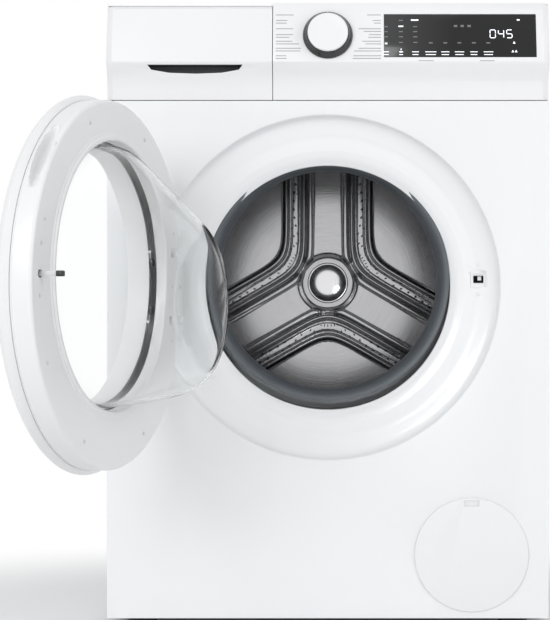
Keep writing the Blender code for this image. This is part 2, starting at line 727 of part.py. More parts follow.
def dispenser():
    """Drawer front with its grip trough, the tray behind it and the housing it slides in."""
    front_top = HEIGHT - 0.0045
    front = fascia_shell("drawer_front", -HALF + 0.0005, DRAWER_SPLIT, True, False, front_top)
    grip_middle = (GRIP_LEFT + GRIP_RIGHT) / 2
    half = (GRIP_RIGHT - GRIP_LEFT) / 2
    rise = GRIP_HIGH - GRIP_LOW
    smile = [
        (grip_middle - half, GRIP_HIGH),
        (grip_middle - half + 0.005, GRIP_HIGH - rise * 0.55),
        (grip_middle - half * 0.55, GRIP_LOW + 0.0012),
        (grip_middle, GRIP_LOW),
        (grip_middle + half * 0.55, GRIP_LOW + 0.0012),
        (grip_middle + half - 0.005, GRIP_HIGH - rise * 0.55),
        (grip_middle + half, GRIP_HIGH),
    ]
    mouth = extruded("grip_mouth", [smile], -0.03, 0.006, None, DRAWER)
    cut(front, mouth)
    low = (GRIP_LEFT - 0.003, -0.0005, GRIP_LOW - 0.004)
    high = (GRIP_RIGHT + 0.003, 0.0115, GRIP_HIGH + 0.004)
    trough = slab("drawer_grip", low, high, GREY_PLASTIC, DRAWER)
    cut(trough, extruded("grip_hollow", [smile], -0.03, 0.009, None, DRAWER))

    left = HOUSING_LEFT + MOULDING + 0.0015
    right = HOUSING_RIGHT - MOULDING - 0.0015
    floor = HOUSING_LOW + MOULDING + GAP
    tray_top = HOUSING_HIGH - MOULDING - 0.005
    tray_front = PANEL_BACK + GAP
    tray = slab("drawer_tray", (left, tray_front, floor), (right, TRAY_BACK, tray_top), PALE_PLASTIC, DRAWER)
    walls = [left, left + 0.062, right - 0.072, right]
    for index in range(3):
        bay_low = (walls[index] + MOULDING, tray_front + MOULDING, floor + MOULDING)
        bay_high = (walls[index + 1] - MOULDING * (index == 2), TRAY_BACK - MOULDING, tray_top + 0.01)
        cut(tray, slab("tray_bay", bay_low, bay_high, None, DRAWER))

    outer_low = (HOUSING_LEFT, HOUSING_FRONT, HOUSING_LOW)
    outer_high = (HOUSING_RIGHT, HOUSING_BACK, HOUSING_HIGH)
    housing = slab("dispenser_housing", outer_low, outer_high, PALE_PLASTIC, ROOT)
    m = MOULDING
    inner_low = (HOUSING_LEFT + m, HOUSING_FRONT - 0.01, HOUSING_LOW + m)
    inner_high = (HOUSING_RIGHT - m, HOUSING_BACK - m, HOUSING_HIGH - m)
    outlet_low = HOUSING_LOW - 0.01
    outlet = bar("outlet", HOSE_RADIUS - 0.003, outlet_low, HOUSING_LOW + 0.01, None, ROOT, HOSE_X, HOSE_Y)
    cut(housing, slab("housing_inside", inner_low, inner_high, None, ROOT), outlet)


control_panel()
knob()
dispenser()


# Tub, hung on two springs and held by two dampers
def weight(name, start, end):
    """A concrete block cast as a sector around the tub's mouth."""
    outer = arc(WEIGHT_OUTER, start, end, 20, 0, OPENING_Z)
    inner = arc(WEIGHT_INNER, end, start, 20, 0, OPENING_Z)
    extruded(name, [outer + inner], WEIGHT_FRONT, TUB_FRONT - GAP, CONCRETE, TUB)


def tub_front():
    """Front half of the tub: neck, front wall, shell, flange and the sump spigot."""
    t = TUB_RADIUS
    w = TUB_WALL
    n = NECK_INNER + w
    profile = [
        (n, TUB_FRONT - NECK_DEPTH),
        (n, TUB_FRONT),
        (t, TUB_FRONT),
        (t, TUB_SPLIT - 0.009),
        (t + FLANGE, TUB_SPLIT - 0.009),
        (t + FLANGE, TUB_SPLIT - GAP),
        (t - w, TUB_SPLIT - GAP),
        (t - w, TUB_FRONT + w),
        (NECK_INNER, TUB_FRONT + w),
        (NECK_INNER, TUB_FRONT - NECK_DEPTH),
    ]
    tub = turned("tub_front", from_front(profile), PALE_PLASTIC, TUB, (0, 0, OPENING_Z), FORWARD, LARGE)
    top = OPENING_Z - math.sqrt(t**2 - (SUMP_X + SUMP_RADIUS) ** 2) + 0.0015
    spigot = bar("sump_spigot", SUMP_RADIUS, SUMP_Z, top, None, TUB, SUMP_X, SUMP_Y)
    bore = bar("sump_bore", SUMP_RADIUS - 0.003, SUMP_Z - 0.01, top + 0.01, None, TUB, SUMP_X, SUMP_Y)
    join(tub, spigot)
    cut(tub, bore)


def tub_rear():
    """Rear half: shell, back wall, bearing hub, spring and damper lugs, motor arms, inlet spigot."""
    t = TUB_RADIUS
    w = TUB_WALL
    hub = 0.048
    b = BEARING_RADIUS + GAP
    profile = [
        (t + FLANGE, TUB_SPLIT),
        (t + FLANGE, TUB_SPLIT + 0.0085),
        (t, TUB_SPLIT + 0.0085),
        (t, TUB_BACK),
        (hub, TUB_BACK),
        (hub, HUB_BACK),
        (b, HUB_BACK),
        (b, HUB_FRONT),
        (hub, HUB_FRONT),
        (hub, TUB_BACK - w),
        (t - w, TUB_BACK - w),
        (t - w, TUB_SPLIT),
    ]
    tub = turned("tub_rear", from_front(profile), PALE_PLASTIC, TUB, (0, 0, OPENING_Z), FORWARD, LARGE)

    def wall_x(z):
        """How far from the axis the middle of the shell is at this height."""
        return math.sqrt((t - w / 2) ** 2 - (z - OPENING_Z) ** 2)

    for side in (-1, 1):
        name = "left" if side < 0 else "right"
        lug_low = SPRING_SEAT_Z - 0.012
        near = side * wall_x(lug_low)
        far = side * (SPRING_X + SPRING_COIL + 0.002)
        low = (min(near, far), SPRING_Y - 0.014, lug_low)
        high = (max(near, far), SPRING_Y + 0.014, SPRING_SEAT_Z)
        join(tub, slab("spring_lug_" + name, low, high, None, TUB))
        lug_high = DAMPER_LUG_Z + 0.012
        near = side * wall_x(lug_high)
        far = side * (DAMPER_X + 0.016)
        low = (min(near, far), DAMPER_Y - 0.010, DAMPER_LUG_Z)
        high = (max(near, far), DAMPER_Y + 0.010, lug_high)
        join(tub, slab("damper_lug_" + name, low, high, None, TUB))
    for x in (MOTOR_X - 0.030, MOTOR_X + 0.030):
        drop = math.sqrt(MOTOR_RADIUS**2 - 0.040**2) + GAP
        top = OPENING_Z - math.sqrt((t - w / 2) ** 2 - (abs(x) + 0.010) ** 2)
        low = (x - 0.010, MOTOR_FRONT + 0.010, MOTOR_Z + drop + 0.0165)
        high = (x + 0.010, MOTOR_BACK - 0.010, top)
        join(tub, slab("motor_arm", low, high, None, TUB))
    spigot_low = OPENING_Z + math.sqrt(t**2 - (abs(HOSE_X) + HOSE_RADIUS) ** 2) - 0.0015
    join(tub, bar("inlet_spigot", HOSE_RADIUS, spigot_low, TUB_INLET_Z, None, TUB, HOSE_X, HOSE_Y))
    bore = HOSE_RADIUS - 0.003
    cut(tub, bar("inlet_bore", bore, spigot_low - 0.01, TUB_INLET_Z + 0.01, None, TUB, HOSE_X, HOSE_Y))
    bore = HEATER_RADIUS + GAP
    for side in (-1, 1):
        at = (side * HEATER_HALF, HEATER_Z, 16)
        cut(tub, cylinder("heater_hole", bore, TUB_BACK - 0.02, TUB_BACK + 0.01, None, TUB, *at))


def damper(name, side):
    """A friction damper: the cylinder stands on the pan and the rod hangs from the tub."""
    x = side * DAMPER_X
    floor = FOOT_HEIGHT + PAN_WALL + GAP
    r = DAMPER_RADIUS
    bore = ROD_RADIUS + 0.0015
    upright = (0, 0, 0)
    at = (x, DAMPER_Y, 0)
    profile = [(0, DAMPER_TOP), (r, DAMPER_TOP), (r, floor), (0, floor)]
    well = [(0, DAMPER_TOP + 0.01), (bore, DAMPER_TOP + 0.01), (bore, floor + 0.004), (0, floor + 0.004)]
    body = turned("damper_cylinder_" + name, profile, BLACK_PLASTIC, ROOT, at, upright, 24)
    cut(body, turned("damper_well", well, None, ROOT, at, upright, 24))
    rod_low = DAMPER_TOP - 0.050
    bar("damper_rod_" + name, ROD_RADIUS, rod_low, DAMPER_LUG_Z - GAP, ZINC, TUB, x, DAMPER_Y, 24)


def spring(name, side):
    """An open coil between the tub's lug and the side panel's bracket."""
    low = SPRING_SEAT_Z + SPRING_WIRE + GAP
    high = BRACKET_Z - SPRING_WIRE - GAP
    turns = 5
    count = 8 * turns
    points = []
    for i in range(count + 1):
        angle = 2 * math.pi * i / 8
        share = i / count
        x = side * SPRING_X + SPRING_COIL * math.cos(angle)
        points.append((x, SPRING_Y + SPRING_COIL * math.sin(angle), low + (high - low) * share))
    coil = tube("spring_" + name, points, SPRING_WIRE, ZINC, ROOT)
    coil.data.bevel_resolution = 1


def heater():
    """Immersion heater: a hairpin in the gap under the drum, with its legs through the back wall."""
    front = TUB_SPLIT + 0.02
    bend = arc(HEATER_HALF, 180, 360, 10)
    points = [(-HEATER_HALF, TUB_BACK + 0.006, HEATER_Z)]
    points += [(x, front + HEATER_HALF + y, HEATER_Z) for x, y in bend]
    points.append((HEATER_HALF, TUB_BACK + 0.006, HEATER_Z))
    tube("heater", points, HEATER_RADIUS, STAINLESS, TUB)


def gasket():
    """Folded rubber door seal between the front panel's collar and the tub's neck."""
    o = OPENING_RADIUS * math.cos(math.pi / ROUND) - GAP
    n = NECK_INNER - GAP
    d = RECESS_DEPTH
    profile = [
        (o, d + 0.0057),
        (o, d + COLLAR_DEPTH),
        (o - 0.0022, d + COLLAR_DEPTH + 0.002),
        (o - 0.0057, d + COLLAR_DEPTH + 0.004),
        (o - 0.0057, TUB_FRONT - 0.022),
        (n, TUB_FRONT - 0.017),
        (n, TUB_FRONT - 0.001),
        (LIP_RADIUS, TUB_FRONT + 0.006),
        (LIP_RADIUS, TUB_FRONT + 0.001),
        (LIP_RADIUS + 0.005, TUB_FRONT - 0.014),
        (LIP_RADIUS + 0.004, d + 0.020),
        (LIP_RADIUS + 0.0065, d + 0.0095),
        (o - 0.0042, d + 0.0057),
    ]
    turned("gasket", from_front(profile), RUBBER, ROOT, (0, 0, OPENING_Z), FORWARD, LARGE)


weight("counterweight_upper", 20, 160)
weight("counterweight_lower", 200, 340)
tub_front()
tub_rear()
damper("left", -1)
damper("right", 1)
spring("left", -1)
spring("right", 1)
heater()
gasket()


# Drum and drive
def spoke(name, angle, low, high, turn_at, finish, body):
    """A box laid along a radius at an angle around the drum's axis."""
    item = slab(name, low, high, finish, body, turn_at, (0, -math.radians(angle), 0))
    return item


def band_outline(angle, reach):
    """A boomerang around one gap of the star: two legs that run beside its arms, to a radius."""
    def toward(degrees, length):
        turn = math.radians(degrees)
        return Vector((length * math.cos(turn), length * math.sin(turn)))

    def leg(corner, side):
        """The point where a leg's edge from this corner meets the reach."""
        along = (-corner + math.sqrt(4 * reach**2 - 3 * corner**2)) / 2
        return toward(angle, corner) + toward(angle + side * 60, along)

    near = STAR_HALF / math.sin(math.radians(60))
    far = (STAR_HALF + BAND_WIDTH) / math.sin(math.radians(60))
    points = [leg(near, 1)]
    for corner, soft in ((near, 0.018), (far, 0.014)):
        sides = (1, -1) if corner == near else (-1, 1)
        points.append(toward(angle, corner) + toward(angle + sides[0] * 60, soft))
        points.append(toward(angle, corner + soft / 3))
        points.append(toward(angle, corner) + toward(angle + sides[1] * 60, soft))
        points.append(leg(corner, sides[1]))
        if corner == near:
            points.append(leg(far, -1))
    return [(x, OPENING_Z + z) for x, z in points]


def drum():
    """Perforated stainless drum with rolled mouth and three lifters, and its embossed back."""
    r = DRUM_RADIUS
    w = DRUM_WALL
    f = DRUM_FRONT
    profile = [
        (DRUM_MOUTH + 0.0018, f),
        (r - 0.030, f + 0.005),
        (r - 0.0025, f + 0.0085),
        (r, f + 0.0115),
        (r, DRUM_BACK),
        (r - w, DRUM_BACK),
        (r - w, f + 0.0122),
        (r - 0.0032, f + 0.0098),
        (r - 0.030, f + 0.0063),
        (DRUM_MOUTH + 0.0028, f + 0.0014),
        (DRUM_MOUTH + 0.0010, f + 0.0035),
        (DRUM_MOUTH, f + 0.0028),
    ]
    centre = (0, 0, OPENING_Z)
    shell = turned("drum_shell", from_front(profile), STAINLESS, DRUM, centre, FORWARD, LARGE)
    for angle in LIFTER_ANGLES:
        low = (r - 0.034, f + 0.040, -0.018)
        high = (r - w / 2, DRUM_BACK - 0.030, 0.018)
        join(shell, spoke("lifter", angle, low, high, centre, None, DRUM))

    plate_radius = r - w - GAP
    back_front = DRUM_BACK - 0.0032
    at = (0, OPENING_Z, LARGE)
    back = cylinder("drum_back", plate_radius, back_front, DRUM_BACK - GAP, STAINLESS, DRUM, *at)
    hub_face = back_front - 0.003
    hub_profile = [(0, hub_face), (0.036, hub_face), (0.046, back_front + 0.001), (0, back_front + 0.001)]
    join(back, turned("back_hub", from_front(hub_profile), None, DRUM, centre, FORWARD, SMALL))
    for angle in BAND_ANGLES:
        outline = band_outline(angle, plate_radius - 0.012)
        join(back, extruded("band", [outline], back_front - 0.004, back_front + 0.001, None, DRUM))

    face = hub_face - GAP
    cap_radius = HUB_CAP_RADIUS
    cap = [
        (0, face - 0.003),
        (cap_radius * 0.5, face - 0.0042),
        (cap_radius - 0.0030, face - 0.0078),
        (cap_radius - 0.0012, face - 0.0085),
        (cap_radius, face - 0.0072),
        (cap_radius, face),
        (0, face),
    ]
    turned("hub_cap", from_front(cap), STAINLESS, DRUM, centre, FORWARD, SMALL)


def drive():
    """Three-arm carrier with the drum's shaft, its bearings, the pulley, the belt and the motor."""
    centre = (0, 0, OPENING_Z)
    s = SHAFT_RADIUS
    tail = SHAFT_TAIL_RADIUS
    front = DRUM_BACK + GAP
    profile = [
        (0, front),
        (0.045, front),
        (0.045, front + 0.010),
        (0.036, HUB_FRONT - 0.003),
        (s, HUB_FRONT - 0.003),
        (s, 0.4655),
        (tail, 0.4655),
        (tail, SHAFT_END),
        (0, SHAFT_END),
    ]
    shaft = turned("drum_shaft", from_front(profile), CAST, DRUM, centre, FORWARD, SMALL)
    for angle in STAR_ANGLES:
        low = (0.020, front, -0.016)
        high = (DRUM_RADIUS - 0.010, front + 0.009, 0.016)
        join(shaft, spoke("carrier_arm", angle, low, high, centre, None, DRUM))

    b = BEARING_RADIUS
    ring("bearing_front", s + GAP, b, HUB_FRONT + 0.001, 0.4640, ZINC, TUB, 0, OPENING_Z, 32)
    ring("bearing_rear", tail + GAP, b, 0.4670, HUB_BACK - 0.001, ZINC, TUB, 0, OPENING_Z, 32)

    p = PULLEY_RADIUS
    y = PULLEY_FRONT
    middle = y + PULLEY_WIDTH / 2
    wheel = [
        (p, y + 0.0015),
        (p, y + PULLEY_WIDTH - 0.0015),
        (p - 0.005, y + PULLEY_WIDTH - 0.0015),
        (p - 0.005, middle + 0.0020),
        (0.026, middle + 0.0020),
        (0.024, y + PULLEY_WIDTH),
        (tail + GAP, y + PULLEY_WIDTH),
        (tail + GAP, y),
        (0.024, y),
        (0.026, middle - 0.0020),
        (p - 0.005, middle - 0.0020),
        (p - 0.005, y + 0.0015),
    ]
    pulley = turned("drum_pulley", from_front(wheel), CAST, DRUM, centre, FORWARD, LARGE)
    for angle in range(0, 360, 60):
        x = 0.080 * math.cos(math.radians(angle))
        z = OPENING_Z + 0.080 * math.sin(math.radians(angle))
        cut(pulley, cylinder("pulley_hole", 0.027, y - 0.01, y + 0.05, None, DRUM, x, z, 12))

    m = MOTOR_RADIUS
    h = MOTOR_PULLEY_RADIUS
    bore = 0.0065
    case = [
        (0, MOTOR_FRONT),
        (m - 0.004, MOTOR_FRONT),
        (m, MOTOR_FRONT + 0.004),
        (m, MOTOR_BACK),
        (bore, MOTOR_BACK),
        (bore, MOTOR_BACK - 0.004),
        (m - 0.004, MOTOR_BACK - 0.004),
        (m - 0.004, MOTOR_FRONT + 0.005),
        (0, MOTOR_FRONT + 0.005),
    ]
    place = (MOTOR_X, 0, MOTOR_Z)
    housing = turned("motor_housing", from_front(case), CAST, TUB, place, FORWARD, SMALL)
    for x in (MOTOR_X - 0.030, MOTOR_X + 0.030):
        drop = math.sqrt(m**2 - 0.040**2)
        low = (x - 0.010, MOTOR_FRONT + 0.010, MOTOR_Z + drop)
        high = (x + 0.010, MOTOR_BACK - 0.010, MOTOR_Z + drop + 0.0165)
        join(housing, slab("motor_foot", low, high, None, TUB))
    rotor = [
        (0, MOTOR_FRONT + 0.005 + GAP),
        (0.006, MOTOR_FRONT + 0.005 + GAP),
        (0.006, MOTOR_FRONT + 0.020),
        (m - 0.016, MOTOR_FRONT + 0.020),
        (m - 0.016, MOTOR_BACK - 0.020),
        (0.006, MOTOR_BACK - 0.020),
        (0.006, y),
        (h, y),
        (h, y + PULLEY_WIDTH - 0.002),
        (0, y + PULLEY_WIDTH - 0.002),
    ]
    turned("motor_rotor", from_front(rotor), ZINC, ROTOR, place, FORWARD, SMALL)
    belt()


def belt():
    """Ribbed belt: the outline that wraps both pulleys from one tangent point to the next."""
    run_x = MOTOR_X
    run_z = MOTOR_Z - OPENING_Z
    distance = math.hypot(run_x, run_z)
    heading = math.degrees(math.atan2(run_z, run_x))
    spread = math.degrees(math.acos((PULLEY_RADIUS - MOTOR_PULLEY_RADIUS) / distance))

    def loop(extra):
        large = PULLEY_RADIUS + GAP * 1.5 + extra
        small = MOTOR_PULLEY_RADIUS + GAP * 1.5 + extra
        around_drum = arc(large, heading + spread, heading + 360 - spread, 28, 0, OPENING_Z)
        around_motor = arc(small, heading - spread, heading + spread, 8, MOTOR_X, MOTOR_Z)
        return around_drum + around_motor

    start = PULLEY_FRONT + (PULLEY_WIDTH - BELT_WIDTH) / 2
    outlines = [loop(BELT_THICKNESS), loop(0)]
    extruded("drive_belt", outlines, start, start + BELT_WIDTH, BLACK_RUBBER, TUB)


drum()
drive()


# Door, modelled shut and swung open about its hinge
def door_outer_ring():
    """The domed outer cover: rim, shoulder, and the wall around the opening that holds the glass."""
    seam = FRAME_SEAM - GAP
    r = RIM_RADIUS
    front = -DOME_FRONT
    w = FRAME_WALL
    shell = [
        (0, front - 0.001),
        (0.170, front),
        (SHOULDER_RADIUS, SHOULDER_FRONT),
        (0.2250, -0.0445),
        (r - 0.0020, -0.0372),
        (r, -0.0324),
        (r - 0.0030, -0.0275),
        (FRAME_RADIUS + GAP, seam),
        (FRAME_RADIUS - w + GAP, seam),
        (r - 0.0060, -0.0300),
        (r - 0.0050, -0.0345),
        (0.2225, -0.0415),
        (SHOULDER_RADIUS - 0.001, SHOULDER_FRONT + w),
        (0.170, front + w),
        (0, front + w - 0.001),
    ]
    at = (0, 0, RECESS_Z)
    cover = turned("door_outer_ring", from_front(shell), WHITE_PLASTIC, DOOR, at, FORWARD, ROUND)
    hole = DOOR_HOLE - 0.0017
    cut(cover, cylinder("cover_hole", hole + w / 3, -0.08, 0.02, None, DOOR, 0, OPENING_Z, ROUND))
    back = GLASS_FRONT - GAP
    join(cover, ring("cover_collar", hole, hole + w, front + 0.0015, back, None, DOOR, 0, OPENING_Z, ROUND))
    return cover


def door_inner_frame():
    """The inner ring: flat flange, side wall, opening wall, grip pocket and hinge notches."""
    r = FRAME_RADIUS
    w = FRAME_WALL
    b = FRAME_BACK
    cup = [
        (0, b - 0.004),
        (r - w, b - 0.004),
        (r - w, FRAME_SEAM),
        (r, FRAME_SEAM),
        (r, b - 0.001),
        (r - 0.001, b),
        (0, b),
    ]
    at = (0, 0, RECESS_Z)
    frame = turned("door_inner_frame", from_front(cup), WHITE_PLASTIC, DOOR, at, FORWARD, ROUND)
    angle = math.radians(GRIP_ANGLE)
    reach = r + 0.004
    place = (reach * math.cos(angle), (FRAME_SEAM + b) / 2, RECESS_Z + reach * math.sin(angle))

    def pocket(name, grow):
        shape = bmesh.new()
        bmesh.ops.create_uvsphere(shape, u_segments=20, v_segments=10, radius=1)
        size = (0.020 + grow, 0.0095 + grow, 0.060 + grow)
        bmesh.ops.scale(shape, vec=size, verts=shape.verts)
        mesh = bpy.data.meshes.new(name)
        shape.to_mesh(mesh)
        shape.free()
        return new_object(name, mesh, None, DOOR, place, (0, -angle, 0))

    lining = pocket("grip_lining", 0.0022)
    inside = FRAME_SEAM + 0.0004
    core = cylinder("grip_core", r - 0.0006, inside, b - 0.0004, None, DOOR, 0, RECESS_Z, ROUND)
    boolean(lining, core, "INTERSECT")
    join(frame, lining)
    cut(frame, pocket("grip_scoop", 0))
    cut(frame, cylinder("frame_hole", DOOR_HOLE + w / 3, -0.08, 0.02, None, DOOR, 0, OPENING_Z, ROUND))
    back_wall = GLASS_BACK + GAP
    join(frame, ring("frame_collar", DOOR_HOLE, DOOR_HOLE + w, back_wall, b - 0.0010, None, DOOR, 0,
                     OPENING_Z, ROUND))

    half = KNUCKLE_WIDTH / 2
    for side in (-1, 1):
        middle = RECESS_Z + side * (KNUCKLE_RISE + half / 2)
        low = (HINGE_X - 0.022, -0.030, middle - half - 0.001)
        high = (HINGE_X + 0.026, 0.010, middle + half + 0.001)
        cut(frame, slab("hinge_notch", low, high, None, DOOR))
    hook_low = (LATCH_X - 0.0065, -0.010, OPENING_Z - HOOK_SLOT_HALF)
    hook_high = (LATCH_X + 0.0065, 0.010, OPENING_Z + HOOK_SLOT_HALF)
    cut(frame, slab("hook_slot", hook_low, hook_high, None, DOOR))


def door_glass():
    """Deep clear bowl: a clamped rim, a shallow lower wall and a slanting upper one."""
    rim = DOOR_HOLE + 0.0078
    mouth = DOOR_HOLE - 0.0037
    outside = [
        (GLASS_BACK, rim, 0),
        (GLASS_BACK, mouth, 0),
        (0.010, mouth - 0.0028, -0.0003),
        (0.030, mouth - 0.0074, -0.0018),
        (0.050, mouth - 0.0134, -0.0046),
        (0.070, mouth - 0.0210, -0.0085),
        (0.088, mouth - 0.0300, -0.0130),
        (0.102, mouth - 0.0400, -0.0172),
        (BOWL_DEPTH - 0.009, BOWL_END + 0.0150, -0.0206),
        (BOWL_DEPTH - 0.003, BOWL_END + 0.0070, -0.0232),
        (BOWL_DEPTH, BOWL_END, -BOWL_DROP),
    ]
    inside = [(y - GLASS * 0.75, radius - GLASS, drop) for y, radius, drop in reversed(outside[2:])]
    rings = inside + [(GLASS_FRONT, mouth - GLASS, 0), (GLASS_FRONT, rim, 0)] + outside
    sections = []
    for y, radius, drop in rings:
        circle = arc(radius, 0, 360, LARGE, 0, OPENING_Z + drop)[:-1]
        sections.append([(x, y, z) for x, z in circle])
    lofted("door_glass", sections, CLEAR_GLASS, DOOR)


def hinge():
    """Cabinet plate with two goosenecked lugs and pins, and the door's arm with two knuckles."""
    floor = RECESS_DEPTH - GAP
    plate_outline = arc(0.2120, 157, 203, 16, 0, RECESS_Z) + arc(0.1880, 203, 157, 16, 0, RECESS_Z)
    plate = extruded("hinge_plate", [plate_outline], floor - 0.0025, floor, ZINC, ROOT)
    low_y = HINGE_Y - 0.0048
    half = KNUCKLE_WIDTH / 2
    for side in (-1, 1):
        lug_low = RECESS_Z + side * (KNUCKLE_RISE + half / 2) - half + 0.0005
        lug_high = RECESS_Z + side * (KNUCKLE_RISE + half / 2) + half - 0.0005
        stem = ((HINGE_X + 0.0060, low_y + 0.001, lug_low), (HINGE_X + 0.0180, floor - 0.001, lug_high))
        eye_low = (HINGE_X - 0.0048, low_y, lug_low + 0.0002)
        eye_high = (HINGE_X + 0.0160, HINGE_Y + 0.0055, lug_high - 0.0002)
        pin_low = RECESS_Z + side * (KNUCKLE_RISE - 0.0145)
        pin_high = RECESS_Z + side * (KNUCKLE_RISE + 0.0010)
        ends = (min(pin_low, pin_high), max(pin_low, pin_high))
        pin = bar("hinge_pin", PIN_RADIUS, *ends, None, ROOT, HINGE_X, HINGE_Y, 20)
        join(plate, slab("stem", *stem, None, ROOT), slab("eye", eye_low, eye_high, None, ROOT), pin)

    arm_back = FRAME_BACK - 0.004 - GAP
    arm_low = (HINGE_X + 0.0270, arm_back - 0.0025, RECESS_Z - 0.060)
    arm_high = (HINGE_X + 0.0440, arm_back, RECESS_Z + 0.060)
    arm = slab("door_hinge_arm", arm_low, arm_high, ZINC, DOOR)
    for side in (-1, 1):
        knuckle_one = RECESS_Z + side * (KNUCKLE_RISE - 0.0135)
        knuckle_two = RECESS_Z + side * (KNUCKLE_RISE - 0.0135 + KNUCKLE_WIDTH)
        low = (HINGE_X - 0.0060, HINGE_Y - 0.006, min(knuckle_one, knuckle_two))
        high = (HINGE_X + 0.0300, arm_back - 0.0005, max(knuckle_one, knuckle_two))
        join(arm, slab("knuckle", low, high, None, DOOR))
        ends = (low[2] - 0.02, high[2] + 0.02)
        bore = bar("knuckle_bore", PIN_RADIUS + GAP, *ends, None, DOOR, HINGE_X, HINGE_Y, 20)
        cut(arm, bore)


def latch():
    """The door's hook on its sprung pivot, and the electric lock behind the slot."""
    back = FRAME_BACK
    hook = slab("latch_hook", (-0.0025, -0.0035, -0.006), (0.0025, LATCH_LENGTH, 0.006), ZINC, HOOK,
                (LATCH_X, back, OPENING_Z))
    nose_low = (0.0015, LATCH_LENGTH - 0.008, -0.0050)
    nose_high = (0.0050, LATCH_LENGTH - 0.002, 0.0050)
    join(hook, slab("hook_nose", nose_low, nose_high, None, HOOK, (LATCH_X, back, OPENING_Z)))
    boss_low = (-0.0040, -0.0040, -0.0085)
    boss_high = (0.0040, 0.0020, 0.0085)
    join(hook, slab("hook_boss", boss_low, boss_high, None, HOOK, (LATCH_X, back, OPENING_Z)))
    pin_half = HOOK_SLOT_HALF - GAP
    pin = bar("hook_pin", 0.0015, OPENING_Z - pin_half, OPENING_Z + pin_half, None, HOOK, LATCH_X, back, 12)
    join(hook, pin)

    lock_front = RECESS_DEPTH + SHEET + GAP
    low = (LATCH_X - 0.018, lock_front, OPENING_Z - 0.032)
    high = (LATCH_X + 0.020, lock_front + 0.034, OPENING_Z + 0.032)
    lock = slab("door_lock", low, high, BLACK_PLASTIC, ROOT)
    well_low = (LATCH_X - 0.0085, lock_front - 0.01, OPENING_Z - 0.0100)
    well_high = (LATCH_X + 0.0085, lock_front + 0.024, OPENING_Z + 0.0100)
    cut(lock, slab("lock_well", well_low, well_high, None, ROOT))


door_outer_ring()
door_inner_frame()
door_glass()
hinge()
latch()


# Service corner and rear connections
def pump_flap():
    """Round service flap with a grip notch at its top, hinged at its lowest edge."""
    face = -GAP - FLAP_THICKNESS
    rim = 0.0006
    profile = [
        (0, face),
        (FLAP_RADIUS - rim, face),
        (FLAP_RADIUS, face + rim),
        (FLAP_RADIUS, -GAP),
        (0, -GAP),
    ]
    flap = turned("pump_flap", from_front(profile), WHITE_PLASTIC, FLAP, (FLAP_X, 0, FLAP_Z), FORWARD, LARGE)
    top = FLAP_Z + FLAP_RADIUS
    low = (FLAP_X - 0.010, face - 0.01, top - 0.0115)
    notch = slab("grip_notch", low, (FLAP_X + 0.010, 0.01, top - 0.0035), None, FLAP)
    cut(flap, notch)


def drain_pump():
    """Filter housing behind the front panel, its screw-in strainer, and the pump behind it."""
    front = SHEET + GAP
    r = FILTER_RADIUS
    wall = 0.003
    case = [
        (ACCESS_RADIUS + 0.006, front),
        (ACCESS_RADIUS + 0.006, front + 0.002),
        (r + wall, front + 0.002),
        (r + wall, FILTER_BACK),
        (r - 0.010, FILTER_BACK),
        (r - 0.010, FILTER_BACK - wall),
        (r, FILTER_BACK - wall),
        (r, front),
    ]
    at = (FLAP_X, 0, FLAP_Z)
    housing = turned("filter_housing", from_front(case), PALE_PLASTIC, ROOT, at, FORWARD, SMALL)
    port_low = FLAP_Z + r + 0.001
    port = bar("sump_port", SUMP_RADIUS, port_low, PORT_TOP, None, ROOT, FLAP_X, PORT_Y)
    bore = bar("port_bore", SUMP_RADIUS - 0.003, FLAP_Z, PORT_TOP + 0.01, None, ROOT, FLAP_X, PORT_Y)
    join(housing, port)
    cut(housing, bore)

    cap = r - 0.0008
    strainer = [
        (0, 0.0080),
        (cap - 0.001, 0.0080),
        (cap, 0.0090),
        (cap, 0.0200),
        (0.022, 0.0200),
        (0.020, FILTER_BACK - 0.010),
        (0, FILTER_BACK - 0.010),
    ]
    insert = turned("filter_insert", from_front(strainer), GREY_PLASTIC, FILTER, at, FORWARD, SMALL)
    handle_low = (FLAP_X - 0.024, 0.0025, FLAP_Z - 0.0035)
    join(insert, slab("filter_handle", handle_low, (FLAP_X + 0.024, 0.0100, FLAP_Z + 0.0035), None, FILTER))

    start = FILTER_BACK + GAP
    volute = [
        (0.034, start),
        (0.034, start + 0.040),
        (0.026, start + 0.040),
        (0.026, PUMP_BACK),
        (0, PUMP_BACK),
        (0, start + 0.036),
        (0.031, start + 0.036),
        (0.031, start + 0.004),
        (0.021, start + 0.004),
        (0.021, start),
    ]
    order = [volute[5], *volute[6:], *volute[:5]]
    pump = turned("drain_pump", from_front(order), BLACK_PLASTIC, ROOT, at, FORWARD, SMALL)
    outlet_profile = [(0, 0.052), (OUTLET_RADIUS, 0.052), (OUTLET_RADIUS, 0.0325), (0, 0.0325)]
    outlet_at = (FLAP_X, OUTLET_Y, FLAP_Z)
    join(pump, turned("pump_outlet", outlet_profile, None, ROOT, outlet_at, (0, math.pi / 2, 0), 20))


def smooth_route(points, count):
    """Places along a smooth curve through the route's own points."""
    places = []
    padded = [points[0], *points, points[-1]]
    for i in range(len(points) - 1):
        a, b, c, d = (Vector(padded[i + k]) for k in range(4))
        for j in range(count):
            t = j / count
            place = 2 * b + (c - a) * t + (2 * a - 5 * b + 4 * c - d) * t**2 + (3 * b - a - 3 * c + d) * t**3
            places.append(place / 2)
    places.append(Vector(points[-1]))
    return places


